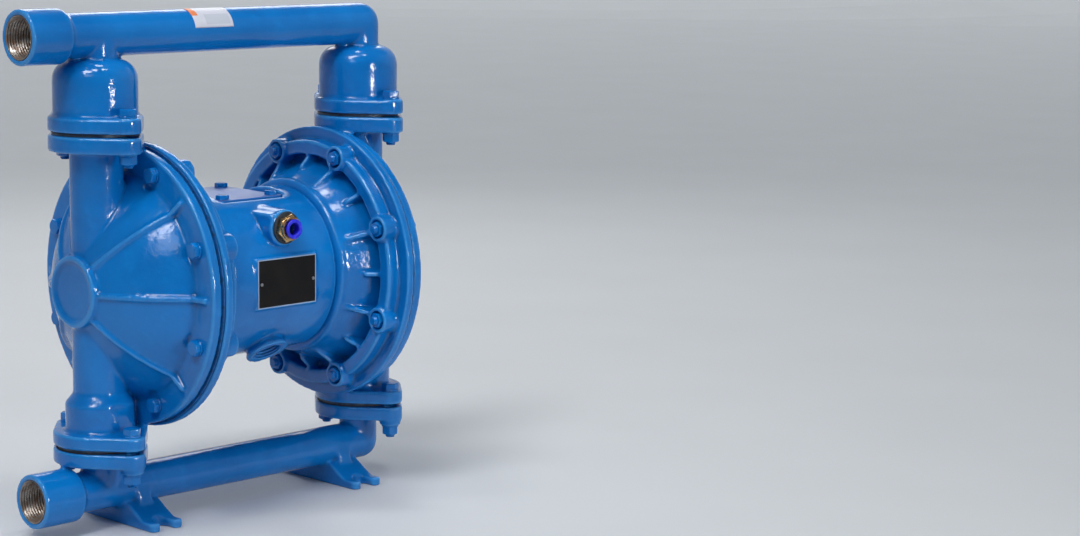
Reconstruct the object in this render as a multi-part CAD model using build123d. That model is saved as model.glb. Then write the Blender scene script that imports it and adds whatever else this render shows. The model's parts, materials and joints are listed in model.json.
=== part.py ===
from build123d import *
import os
from math import cos, radians, sin, sqrt

# Air operated double diaphragm pump, millimetres, +Z up.
# X runs along the two manifold pipes (the port sockets are at -X) and is the line of the diaphragm
# shaft. The front, with the air inlet, the nameplate and the exhaust, faces -Y.
# Everything is modelled about the centre of the shaft and moved to the part's frame at the end.

# ---- overall places ----------------------------------------------------------------------------
RISER_OUT = 60.0              # riser axis beyond the diaphragm
JOINT_GAP = 4.5               # seat flange and gasket between chamber and manifold
DISCHARGE_RISE = 128.0        # discharge pipe axis above the chamber's upper flange face
SUCTION_DROP = 64.0           # suction pipe axis below the chamber's lower flange face
PIPE_ABOVE_GROUND = 50.5      # suction pipe axis above the ground
DISCHARGE_OUT = 117.0         # face of the discharge port beyond the riser axis
SUCTION_OUT = 110.0           # face of the suction port beyond the riser axis

# ---- clearances --------------------------------------------------------------------------------
SEAT_GAP = 0.3                # between a curved or loose piece and what it lies on
BOLT_GAP = 0.8                # radial, bolt shank in its hole
THREAD_GAP = 0.1              # radial, male thread in its tapped hole
THREAD_ROOM = 2.0             # free depth past the end of a screw
RUNNING_GAP = 0.05            # radial, shaft in bush, spool in sleeve
ROD_GAP = 0.6                 # radial, rod through a casting wall
GUIDE_GAP = 1.0               # radial, ball to its cage ribs

# ---- manifold pipes and ports ------------------------------------------------------------------
DISCHARGE_PIPE_R = 29.0
SUCTION_PIPE_R = 27.0
PIPE_WALL = 6.0
SOCKET_R = 36.2
SOCKET_LENGTH = 60.0
SOCKET_STEP = 8.0             # cone from socket down to pipe
THREAD_R = 28.3               # minor radius of the port thread
THREAD_DEPTH = 44.0
MOUTH_CHAMFER = 2.0

# ---- two-bolt flanges of risers and manifolds --------------------------------------------------
FLANGE_HALF_WIDTH = 62.0
FLANGE_TIP_Y = 66.0
FLANGE_TIP_R = 20.0
TOP_FLANGE = 22.0             # chamber's upper flange
BOTTOM_FLANGE = 18.5          # chamber's lower flange
MANIFOLD_FLANGE = 19.5
FLANGE_BOLT_Y = 70.0
FLANGE_BOSS_R = 15.0
FLANGE_BOSS_RISE = 1.5
SUCTION_BOSS_DROP = 7.5

# ---- bolts -------------------------------------------------------------------------------------
FLANGE_BOLT_R = 7.0
FLANGE_BOLT_AF = 21.0
FLANGE_HEAD = 8.8
FLANGE_NUT = 11.0
FLANGE_STUB = 4.0
RIM_BOLT_R = 6.0
RIM_BOLT_AF = 19.0
RIM_HEAD = 7.5
RIM_NUT = 10.0
RIM_STUB = 5.0
WASHER = 2.5
WASHER_MARGIN = 1.6           # washer radius beyond half of the hexagon

# ---- riser and lower ball cage of the fluid chamber --------------------------------------------
RISER_R = 35.0
RISER_BORE_R = 27.0
FLARE_R = 45.5
FLARE_HEIGHT = 55.0           # flare above the chamber's lower flange face
FLARE_CONE = 13.0
FLARE_WALL = 7.0

# ---- discharge dome (upper ball cage) ----------------------------------------------------------
DOME_R = 55.5
DOME_WALL = 7.5
DOME_WALL_HEIGHT = 70.5       # dome's straight wall above the chamber's flange face
DOME_SHOULDER_R = 26.5

# ---- ball valves -------------------------------------------------------------------------------
BALL_R = 30.0
BALL_LIFT = 16.0
SEAT_BORE_R = 22.0
SEAT_LIP = 5.0                # height of the spherical seat band
SEAT_SPIGOT = 10.0            # seat ring above its flange's lower face
SEAT_FLANGE = 3.0
SEAT_FLANGE_R = 57.0
SEAT_GASKET_R = 58.0
CAGE_RIB = 7.0
CAGE_RIBS = 4

# ---- fluid chamber bowl ------------------------------------------------------------------------
RIM = 4.0                     # diaphragm rim between the chamber flanges
DIAPHRAGM_OUT = 77.6          # diaphragm's fluid face beyond the centre body's end
FLUID_FLANGE = 14.5
BOWL_INSET = 15.0             # bowl's edge inside the rim bolt circle
BOWL_WALL_RISE = 6.0          # straight wall between flange and bowl
BOWL_ROUND = 3.0              # how far that wall leans in
BOWL_LENGTH = 93.0            # diaphragm to the bowl's edge at the ring boss
BOWL_SAG = 8.0                # bulge of the bowl's arc over its chord
BOWL_WALL = 8.0
RING_RISE = 10.0              # ring boss beyond the bowl's end
RING_R = 48.0
RING_WIDTH = 8.5
RING_RECESS = 4.5
FLUID_RIB = 7.0
FLUID_RIB_RISE = 5.0
FLUID_RIB_REACH = 10.0        # rib's end outside the rim bolt circle
FLUID_RIB_ANGLES = (0, 45, 135, 180, 225, 315)
SPOT_FACE_R = 20.5

# ---- rim bolt circle ---------------------------------------------------------------------------
RIM_BOLTS = 8
RIM_BOLT_CIRCLE = 165.0
FLUID_FLANGE_EDGE = 21.0      # chamber flanges outside the rim bolt circle
AIR_FLANGE_EDGE = 26.0
RISER_CLEAR = 19.5            # riser flange faces outside the chamber flange
RIM_BOLT_START = 22.5

# ---- air chamber -------------------------------------------------------------------------------
AIR_FLANGE = 11.5
LIP_OUT = 42.6                # lip's face beyond the centre body's end
LIP_INSET = 12.0
LIP_OUTSET = 8.0
BOSS_PROUD = 5.0              # bolt bosses beyond the lip's face, towards the body
BOSS_R = 17.8
NUT_RECESS_R = 12.6
NUT_RECESS = 8.0
COLLAR_R = 121.7
COLLAR_OUT = 4.6              # collar's start beyond the centre body's end
COLLAR_WIDTH = 6.0
NECK_R = 116.0
CONE_INSET = 10.0             # cone's end inside the lip
AIR_RIB = 6.5
RIB_ROOT = 4.0                # how far a rib reaches into the wall it stands on
SHORT_RIB_BACK = 12.0         # short rib's free end beyond the lip's face
SHORT_RIB_RISE = 8.0          # blunt end of a short rib above the cone
SHORT_RIB_DROP = 4.0
CHAMBER_FLOOR = 15.6          # air space's floor beyond the centre body's end
CAVITY_FLOOR_R = 100.0
CAVITY_INSET = 2.0            # air space's mouth inside the bowl's edge

# ---- centre body -------------------------------------------------------------------------------
BODY_R = 113.5
BODY_HALF = 88.4
BODY_WALL = 9.5
BODY_END_WALL = 14.4
BLEND_DEPTH = 12.0            # how far an added pad, boss or rib sinks into its casting
CUT_OVER = 1.0                # how far a cutter runs past the face it opens
OVERLAP = 1.0                 # how far two forms of one casting run into each other
HUB_R = 32.0
GASKET = 1.0
GASKET_INNER_R = 76.0
GASKET_OUTER_R = 111.0
SCREWS = 6
SCREW_CIRCLE = 88.0
SCREW_R = 5.0
SCREW_HEAD_R = 8.0
SCREW_HEAD = 10.0
SCREW_LENGTH = 26.0

# ---- valve box on top and its cover ------------------------------------------------------------
BOX_HALF_X = 54.0
BOX_FRONT = -40.0
BOX_REAR = 92.0
BOX_BOTTOM = 54.0
COVER_SEAT = 97.0
COVER = 8.2
COVER_GASKET = 0.8
COVER_MARGIN = 2.0            # recess around the cover
COVER_CORNER = 8.0
COVER_BOLT_X = 42.0
COVER_BOLT_INSET = 11.0
COVER_BOLT_R = 5.0
COVER_BOLT_AF = 16.0
COVER_BOLT_HEAD = 6.4
COVER_BOLT_LENGTH = 26.0
POCKET_HALF_X = 30.0
POCKET_DEPTH = 22.0
POCKET_MARGIN = 24.0

# ---- air inlet ---------------------------------------------------------------------------------
INLET_Z = 72.5
INLET_FACE = -112.0
INLET_BOSS_R = 25.0
INLET_HOOD_HALF = 23.0
INLET_HOOD_TOP = 20.0
INLET_HOOD_SETBACK = 5.0
INLET_THREAD_R = 12.5
INLET_THREAD = 18.0
FITTING_HEX_AF = 34.0
FITTING_HEX = 10.0
FITTING_NECK_R = 16.0
FITTING_NECK = 4.5
TUBE_R = 8.0
TUBE_GAP = 0.3                # radial, air tube in its socket
TUBE_DEPTH = 26.0
AIRWAY_R = 5.5
AIRWAY_RAISE = 6.0            # airway axis above the inlet's
RELEASE_TRAVEL = 1.5
RELEASE_HEAD_R = 13.4
RELEASE_HEAD = 3.0
RELEASE_SLEEVE_R = 11.0
RELEASE_SLEEVE = 12.0

# ---- exhaust, nameplate ------------------------------------------------------------------------
EXHAUST_ANGLE = 55.0          # below the horizontal, towards the front
EXHAUST_BOSS_R = 27.0
EXHAUST_REACH = 126.0
EXHAUST_LIP_R = 30.0          # raised ring at the exhaust's mouth
EXHAUST_LIP = 6.0
EXHAUST_BORE_R = 19.4
EXHAUST_DEPTH = 32.0
PLATE_HALF_X = 50.0
PLATE_HALF_Z = 33.0
PLATE_THICKNESS = 1.0
PAD_MARGIN = 2.5
PAD_FACE = -114.0
RIVET_X = 44.5
RIVET_R = 2.2
RIVET_HEAD = 1.4

# ---- shaft, diaphragms and plates --------------------------------------------------------------
SHAFT_R = 14.0
STUD_R = 8.0
STUD_OUT = 19.0               # stud's end beyond the diaphragm
BUSH_R = 18.0
BUSH_LENGTH = 22.0
PLATE_R = 90.0
PLATE_EDGE = 3.0              # bevel at the plates' rims
PLATE_DISH = 12.0             # width of the outer plate's sloping rim
INNER_PLATE = 7.0
INNER_HUB_R = 25.0
INNER_HUB = 14.0
OUTER_PLATE = 7.0
OUTER_HUB_R = 30.0
OUTER_HUB = 2.0
PLATE_NUT_AF = 24.0
PLATE_NUT = 9.0
DIAPHRAGM_INSET = 3.0         # diaphragm's edge inside the fluid chamber's flange
ROLL_START = 1.0              # roll begins this far outside the inner plate
ROLL_INSET = 8.0              # roll's outer edge inside the bowl's
ROLL_NECK = 4.0               # how much narrower the roll is on the fluid side at each edge
ROLL_SAG = 13.0

# ---- air valve and pilot -----------------------------------------------------------------------
VALVE_Y = 30.0
VALVE_Z = 48.0
SLEEVE_R = 17.0
SLEEVE_SHORT = 8.4            # sleeve's end inside the centre body's
SPOOL_R = 12.0
SPOOL_WAIST_R = 8.0
SPOOL_SHORT = 18.0            # spool's end inside the sleeve's
SPOOL_LAND = 16.0
PILOT_Y = -40.0
PILOT_R = 5.0
PILOT_OUT = 48.6              # pilot rod's end beyond the centre body's

# ---- feet --------------------------------------------------------------------------------------
FOOT_INSET = 50.0             # feet inside the riser axes
FOOT_WIDTH = 52.0
FOOT_HALF_Y = 80.0
FOOT_THICKNESS = 11.5
FOOT_SLOT = 20.0
FOOT_SLOT_DEPTH = 28.0
SADDLE_FOOT_Y = 58.0
SADDLE_TOP_Y = 22.0
SADDLE_BITE = 18.5            # saddle's top below the pipe's axis
FOOT_CORNER = 7.5             # prongs' rounded ends
FOOT_WEB = 22.0               # web that carries the pipe at the front and rear of the saddle
FOOT_WEB_Y = 36.0

# ---- worked out --------------------------------------------------------------------------------
FLUID_FACE = BODY_HALF + DIAPHRAGM_OUT
BOWL_END = FLUID_FACE + BOWL_LENGTH
RING_FACE = BOWL_END + RING_RISE
LIP_FACE = BODY_HALF + LIP_OUT
BOSS_FACE = LIP_FACE - BOSS_PROUD
COLLAR_START = BODY_HALF + COLLAR_OUT
COLLAR_END = COLLAR_START + COLLAR_WIDTH
SHORT_RIB_START = LIP_FACE - SHORT_RIB_BACK
CAVITY_FLOOR = BODY_HALF + CHAMBER_FLOOR
STUD_END = FLUID_FACE + STUD_OUT
SLEEVE_HALF = BODY_HALF - SLEEVE_SHORT
SPOOL_HALF = SLEEVE_HALF - SPOOL_SHORT
PILOT_HALF = BODY_HALF + PILOT_OUT
RISER_X = FLUID_FACE + RISER_OUT               # riser axis from the pump's centre
DISCHARGE_REACH = RISER_X + DISCHARGE_OUT
SUCTION_REACH = RISER_X + SUCTION_OUT
FOOT_X = RISER_X - FOOT_INSET
FLUID_FLANGE_R = RIM_BOLT_CIRCLE + FLUID_FLANGE_EDGE
AIR_FLANGE_R = RIM_BOLT_CIRCLE + AIR_FLANGE_EDGE
BOWL_R = RIM_BOLT_CIRCLE - BOWL_INSET
LIP_INNER_R = RIM_BOLT_CIRCLE - LIP_INSET
LIP_OUTER_R = RIM_BOLT_CIRCLE + LIP_OUTSET
CONE_END_R = LIP_INNER_R - CONE_INSET
DIAPHRAGM_R = FLUID_FLANGE_R - DIAPHRAGM_INSET
ROLL_OUTER_R = BOWL_R - ROLL_INSET
JOINT_FACE = FLUID_FLANGE_R + RISER_CLEAR      # chamber's riser flange faces, above and below
DISCHARGE_PIPE_Z = JOINT_FACE + DISCHARGE_RISE
SUCTION_PIPE_Z = -JOINT_FACE - SUCTION_DROP
SHAFT_HEIGHT = PIPE_ABOVE_GROUND - SUCTION_PIPE_Z
SADDLE_TOP = PIPE_ABOVE_GROUND - SADDLE_BITE
DOME_SHOULDER_Z = JOINT_FACE + DOME_WALL_HEIGHT
FLARE_TOP = FLARE_HEIGHT - JOINT_FACE
AIR_FACE = FLUID_FACE - RIM
FLUID_OUT = FLUID_FACE + FLUID_FLANGE
AIR_FLANGE_BACK = AIR_FACE - AIR_FLANGE
MANIFOLD_FACE = JOINT_FACE + JOINT_GAP
AIR_CHAMBER_START = BODY_HALF + GASKET
COVER_TOP = COVER_SEAT + COVER_GASKET + COVER
SEAT_DROP = sqrt((BALL_R + SEAT_GAP) ** 2 - SEAT_BORE_R ** 2)
SUCTION_BALL_Z = -MANIFOLD_FACE + SEAT_SPIGOT - SEAT_LIP + SEAT_DROP
DISCHARGE_BALL_Z = JOINT_FACE + SEAT_SPIGOT - SEAT_LIP + SEAT_DROP
TUBE_BORE_R = TUBE_R + TUBE_GAP
CENTRE_X = (DISCHARGE_REACH - RISER_X - FLANGE_HALF_WIDTH) / 2
PLACE = Pos(CENTRE_X, 0, SHAFT_HEIGHT)


# ---- shared shapes -----------------------------------------------------------------------------
def turned_x(*edges):
    """Solid of revolution about X from edges drawn as (axial place, radius)."""
    return revolve(make_face(edges), Axis.X)


def turned_z(x, *edges):
    """Solid of revolution about a vertical axis at x from edges drawn as (radius, height)."""
    return Pos(x, 0, 0) * revolve(Plane.XZ * make_face(edges), Axis.Z)


def ring_x(start, end, outer, inner=0.0):
    """Tube or disc about X between two axial places."""
    return turned_x(Polyline((start, inner), (start, outer), (end, outer), (end, inner), close=True))


def rod_x(start, end, radius, y=0.0, z=0.0):
    """Round bar parallel to X."""
    return Pos((start + end) / 2, y, z) * Rot(0, 90, 0) * Cylinder(radius, abs(end - start))


def rod_y(start, end, radius, x=0.0, z=0.0):
    """Round bar parallel to Y."""
    return Pos(x, (start + end) / 2, z) * Rot(90, 0, 0) * Cylinder(radius, abs(end - start))


def rod_z(bottom, top, radius, x=0.0, y=0.0):
    """Round bar parallel to Z."""
    return Pos(x, y, (bottom + top) / 2) * Cylinder(radius, abs(top - bottom))


def block(x0, x1, y0, y1, z0, z1):
    """Box from its six faces."""
    return Pos((x0 + x1) / 2, (y0 + y1) / 2, (z0 + z1) / 2) * Box(x1 - x0, y1 - y0, z1 - z0)


def hexagon_z(bottom, height, across_flats):
    """Hexagonal prism standing on a height."""
    prism = extrude(RegularPolygon(across_flats / 2, 6, major_radius=False), height)
    return Pos(0, 0, bottom) * prism


def bolt(radius, across_flats, head, length):
    """Hex bolt along Z: the head stands on z=0 and the shank goes down."""
    return hexagon_z(0, head, across_flats) + rod_z(-length, 0, radius)


def nut(radius, across_flats, height):
    """Hex nut along Z hanging from z=0."""
    return hexagon_z(-height, height, across_flats) - rod_z(-height, 0, radius + THREAD_GAP)


def washer(radius, across_flats):
    """Flat washer lying on z=0."""
    outer = across_flats / 2 + WASHER_MARGIN
    return rod_z(0, WASHER, outer) - rod_z(0, WASHER, radius + BOLT_GAP / 2)


def both_sides(right):
    """The right-hand piece and its mirror image across the pump's middle."""
    return {"right": right, "left": mirror(right, about=Plane.YZ)}


def around_x(count, start, radius):
    """Places on a circle about X, each as (y, z)."""
    turns = [radians(start + 360.0 / count * k) for k in range(count)]
    return [(radius * cos(t), radius * sin(t)) for t in turns]


def rim_places():
    return around_x(RIM_BOLTS, RIM_BOLT_START, RIM_BOLT_CIRCLE)


def screw_places():
    return around_x(SCREWS, 0, SCREW_CIRCLE)


def flange_sketch():
    """Two-bolt flange: a disc drawn out to a rounded tip at each bolt."""
    tips = [Pos(0, side * FLANGE_TIP_Y) * Circle(FLANGE_TIP_R) for side in (-1, 1)]
    outline = Circle(FLANGE_HALF_WIDTH) + tips
    return make_hull(outline.edges())


def flange(x, bottom, thickness, boss_low=0.0, boss_high=0.0):
    """Flange plate at a riser with a round boss at each bolt."""
    plate = Pos(x, 0, bottom) * extrude(flange_sketch(), thickness)
    for side in (-1, 1):
        plate += rod_z(bottom - boss_low, bottom + thickness + boss_high, FLANGE_BOSS_R,
                       x, side * FLANGE_BOLT_Y)
    return plate


def flange_holes(x, low, high):
    radius = FLANGE_BOLT_R + BOLT_GAP
    return [rod_z(low, high, radius, x, side * FLANGE_BOLT_Y) for side in (-1, 1)]


def ball_space(x, bottom, ball_z, cage_r, neck_r):
    """Hollow for a ball: a round cage that cones in to the neck above the highest ball."""
    stop = ball_z + BALL_LIFT + (BALL_R + SEAT_GAP) * sqrt(2)
    top = stop - neck_r
    cone = top - (cage_r - neck_r)
    return turned_z(x, Polyline((0, bottom), (cage_r, bottom), (cage_r, cone), (neck_r, top),
                                (0, top), close=True))


def cage_ribs(x, bottom, ball_z, cage_r, neck_r):
    """Ribs that guide the ball and stop it at its highest place."""
    guide_r = BALL_R + GUIDE_GAP
    stop = ball_z + BALL_LIFT + (BALL_R + SEAT_GAP) * sqrt(2)
    outline = Polyline((cage_r + OVERLAP, bottom), (guide_r, bottom), (guide_r, stop - guide_r),
                       (neck_r, stop - neck_r), (cage_r + OVERLAP, stop - neck_r), close=True)
    rib = extrude(Plane.XZ * make_face(outline), CAGE_RIB / 2, both=True)
    turns = [Rot(0, 0, 45 + 360.0 / CAGE_RIBS * k) for k in range(CAGE_RIBS)]
    return [Pos(x, 0, 0) * turn * rib for turn in turns]


# ---- castings that hold the liquid -------------------------------------------------------------
def bowl_arc(grow=0.0):
    """Arc of the bowl's outer surface, moved outwards by grow along the bulge."""
    low_x = FLUID_OUT + BOWL_WALL_RISE
    low_r = BOWL_R - BOWL_ROUND
    run = BOWL_END - low_x
    rise = low_r - RING_R
    length = sqrt(run ** 2 + rise ** 2)
    out_x = rise / length
    out_r = run / length
    start = (low_x + grow * out_x, low_r + grow * out_r)
    middle = ((low_x + BOWL_END) / 2 + (BOWL_SAG + grow) * out_x,
              (low_r + RING_R) / 2 + (BOWL_SAG + grow) * out_r)
    end = (BOWL_END + grow * out_x, RING_R + grow * out_r)
    return start, middle, end


def fluid_chamber():
    """Right-hand fluid chamber: ribbed bowl, riser through it, lower ball cage, three flanges."""
    start, middle, end = bowl_arc()
    shell = turned_x(
        Polyline((FLUID_FACE, 0), (FLUID_FACE, FLUID_FLANGE_R), (FLUID_OUT, FLUID_FLANGE_R),
                 (FLUID_OUT, BOWL_R), start),
        ThreePointArc(start, middle, end),
        Polyline(end, (RING_FACE, RING_R), (RING_FACE, RING_R - RING_WIDTH),
                 (RING_FACE - RING_RECESS, RING_R - RING_WIDTH), (RING_FACE - RING_RECESS, 0),
                 (FLUID_FACE, 0)))
    inside, inner_middle, inner_end = bowl_arc(-BOWL_WALL)
    hollow = turned_x(
        Polyline((FLUID_FACE, 0), (FLUID_FACE, ROLL_OUTER_R), inside),
        ThreePointArc(inside, inner_middle, inner_end),
        Polyline(inner_end, (inner_end[0], 0), (FLUID_FACE, 0)))
    shell += [Rot(angle, 0, 0) * fluid_rib() for angle in FLUID_RIB_ANGLES]
    column = turned_z(RISER_X, Polyline(
        (0, -JOINT_FACE), (FLARE_R, -JOINT_FACE), (FLARE_R, FLARE_TOP),
        (RISER_R, FLARE_TOP + FLARE_CONE), (RISER_R, JOINT_FACE), (0, JOINT_FACE), close=True))
    column += flange(RISER_X, JOINT_FACE - TOP_FLANGE, TOP_FLANGE)
    column += flange(RISER_X, -JOINT_FACE, BOTTOM_FLANGE)
    shell += column
    cage_r = FLARE_R - FLARE_WALL
    shell -= hollow
    shell -= rod_z(0, JOINT_FACE, RISER_BORE_R, RISER_X)
    shell -= rod_z(SUCTION_BALL_Z, 0, RISER_BORE_R, RISER_X)
    shell -= ball_space(RISER_X, -JOINT_FACE, SUCTION_BALL_Z, cage_r, RISER_BORE_R)
    rib_bottom = -MANIFOLD_FACE + SEAT_SPIGOT + SEAT_GAP
    shell += cage_ribs(RISER_X, rib_bottom, SUCTION_BALL_Z, cage_r, RISER_BORE_R)
    shell -= flange_holes(RISER_X, JOINT_FACE - TOP_FLANGE, JOINT_FACE)
    shell -= flange_holes(RISER_X, -JOINT_FACE, -JOINT_FACE + BOTTOM_FLANGE)
    for y, z in rim_places():
        shell -= rod_x(FLUID_OUT, BOWL_END, SPOT_FACE_R, y, z)
        shell -= rod_x(FLUID_FACE, FLUID_OUT, RIM_BOLT_R + BOLT_GAP, y, z)
    return shell


def fluid_rib():
    """Rib that follows the bowl from the ring boss to the flange, drawn towards +Y."""
    start, middle, end = bowl_arc(FLUID_RIB_RISE)
    low, low_middle, low_end = bowl_arc(-BOWL_WALL / 2)
    reach = RIM_BOLT_CIRCLE + FLUID_RIB_REACH
    outline = make_face([
        Polyline((FLUID_OUT - OVERLAP, low[1]), (FLUID_OUT - OVERLAP, reach),
                 (FLUID_OUT + FLUID_RIB_RISE, reach), start),
        ThreePointArc(start, middle, end),
        Line(end, low_end),
        ThreePointArc(low_end, low_middle, low),
        Line(low, (FLUID_OUT - OVERLAP, low[1]))])
    return extrude(outline, FLUID_RIB / 2, both=True)


def manifold(pipe_z, pipe_r, reach, corner_z):
    """Pipe along X with a port socket at -X, an elbow at the right riser and a tee at the left."""
    pipe = rod_x(-reach, RISER_X, pipe_r, 0, pipe_z)
    pipe += Pos(RISER_X, 0, pipe_z) * Sphere(pipe_r)
    profile = Polyline((-reach, 0), (-reach, SOCKET_R), (SOCKET_LENGTH - reach, SOCKET_R),
                       (SOCKET_LENGTH + SOCKET_STEP - reach, pipe_r),
                       (SOCKET_LENGTH + SOCKET_STEP - reach, 0), close=True)
    pipe += Pos(0, 0, pipe_z) * turned_x(profile)
    for x in (-RISER_X, RISER_X):
        pipe += rod_z(min(pipe_z, corner_z), max(pipe_z, corner_z), pipe_r, x)
    return pipe


def manifold_bore(pipe_z, pipe_r, reach, corner_z):
    """Waterway of a manifold with its tapped port."""
    bore_r = pipe_r - PIPE_WALL
    bore = rod_x(-reach, RISER_X, bore_r, 0, pipe_z)
    bore += Pos(RISER_X, 0, pipe_z) * Sphere(bore_r)
    for x in (-RISER_X, RISER_X):
        bore += rod_z(min(pipe_z, corner_z), max(pipe_z, corner_z), bore_r, x)
    mouth_r = THREAD_R + MOUTH_CHAMFER
    thread = Polyline((-reach, 0), (-reach, mouth_r), (MOUTH_CHAMFER - reach, THREAD_R),
                      (THREAD_DEPTH - reach, THREAD_R),
                      (THREAD_DEPTH + THREAD_R - bore_r - reach, bore_r),
                      (THREAD_DEPTH + THREAD_R - bore_r - reach, 0), close=True)
    return bore + Pos(0, 0, pipe_z) * turned_x(thread)


def discharge_manifold():
    """Upper manifold: pipe, two domes that cage the upper balls, two flanges."""
    casting = manifold(DISCHARGE_PIPE_Z, DISCHARGE_PIPE_R, DISCHARGE_REACH, DOME_SHOULDER_Z)
    neck_r = DISCHARGE_PIPE_R - PIPE_WALL
    turn = radians(45)
    start = (DOME_R, DOME_SHOULDER_Z)
    middle = (DOME_R - DOME_SHOULDER_R * (1 - cos(turn)), DOME_SHOULDER_Z + DOME_SHOULDER_R * sin(turn))
    end = (DOME_R - DOME_SHOULDER_R, DOME_SHOULDER_Z + DOME_SHOULDER_R)
    for x in (-RISER_X, RISER_X):
        casting += turned_z(
            x,
            Polyline((0, MANIFOLD_FACE), (DOME_R, MANIFOLD_FACE), start),
            ThreePointArc(start, middle, end),
            Polyline(end, (0, end[1]), (0, MANIFOLD_FACE)))
        casting += flange(x, MANIFOLD_FACE, MANIFOLD_FLANGE, 0, FLANGE_BOSS_RISE)
    casting -= manifold_bore(DISCHARGE_PIPE_Z, DISCHARGE_PIPE_R, DISCHARGE_REACH, DOME_SHOULDER_Z)
    cage_r = DOME_R - DOME_WALL
    rib_bottom = JOINT_FACE + SEAT_SPIGOT + SEAT_GAP
    for x in (-RISER_X, RISER_X):
        casting -= dome_space(x, cage_r, neck_r)
        casting += cage_ribs(x, rib_bottom, DISCHARGE_BALL_Z, cage_r, neck_r)
        top = MANIFOLD_FACE + MANIFOLD_FLANGE + FLANGE_BOSS_RISE
        casting -= flange_holes(x, MANIFOLD_FACE, top)
    return casting


def dome_space(x, cage_r, neck_r):
    """Hollow of a discharge dome."""
    top = DOME_SHOULDER_Z + DOME_SHOULDER_R - DOME_WALL
    return turned_z(x, Polyline((0, MANIFOLD_FACE), (cage_r, MANIFOLD_FACE),
                                (cage_r, top - cage_r + neck_r), (neck_r, top), (0, top), close=True))


def foot(x):
    """Cast foot under the suction pipe: forked plate, sloping saddle and a web up to the pipe."""
    ground = -SHAFT_HEIGHT
    half = FOOT_WIDTH / 2
    plate = block(x - half, x + half, -FOOT_HALF_Y, FOOT_HALF_Y, ground, ground + FOOT_THICKNESS)
    saddle = Polyline((-SADDLE_FOOT_Y, ground + FOOT_THICKNESS), (-SADDLE_TOP_Y, ground + SADDLE_TOP),
                      (SADDLE_TOP_Y, ground + SADDLE_TOP),
                      (SADDLE_FOOT_Y, ground + FOOT_THICKNESS), close=True)
    plate += Pos(x, 0, 0) * extrude(Plane.YZ * make_face(saddle), half, both=True)
    web = Polyline((-FOOT_WEB_Y, ground + FOOT_THICKNESS), (-SUCTION_PIPE_R, SUCTION_PIPE_Z),
                   (SUCTION_PIPE_R, SUCTION_PIPE_Z), (FOOT_WEB_Y, ground + FOOT_THICKNESS),
                   close=True)
    plate += Pos(x, 0, 0) * extrude(Plane.YZ * make_face(web), FOOT_WEB / 2, both=True)
    slot_r = FOOT_SLOT / 2
    inner = FOOT_HALF_Y - FOOT_SLOT_DEPTH + slot_r
    for side in (-1, 1):
        ends = sorted((side * inner, side * FOOT_HALF_Y))
        plate -= block(x - slot_r, x + slot_r, *ends, ground, ground + SADDLE_TOP)
        plate -= rod_z(ground, ground + SADDLE_TOP, slot_r, x, side * inner)
    ends = plate.edges().filter_by(Axis.Z).filter_by(lambda e: abs(e.center().Y) > FOOT_HALF_Y - OVERLAP)
    return fillet(ends, FOOT_CORNER)


def suction_manifold():
    """Lower manifold: pipe, two necks with flanges, and the feet that carry the pump."""
    flange_bottom = -MANIFOLD_FACE - MANIFOLD_FLANGE
    casting = manifold(SUCTION_PIPE_Z, SUCTION_PIPE_R, SUCTION_REACH, flange_bottom)
    for x in (-RISER_X, RISER_X):
        casting += flange(x, flange_bottom, MANIFOLD_FLANGE, SUCTION_BOSS_DROP, 0)
    casting += [foot(side * FOOT_X) for side in (-1, 1)]
    casting -= manifold_bore(SUCTION_PIPE_Z, SUCTION_PIPE_R, SUCTION_REACH, -MANIFOLD_FACE)
    for x in (-RISER_X, RISER_X):
        casting -= flange_holes(x, flange_bottom - SUCTION_BOSS_DROP, -MANIFOLD_FACE)
    return casting


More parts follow.
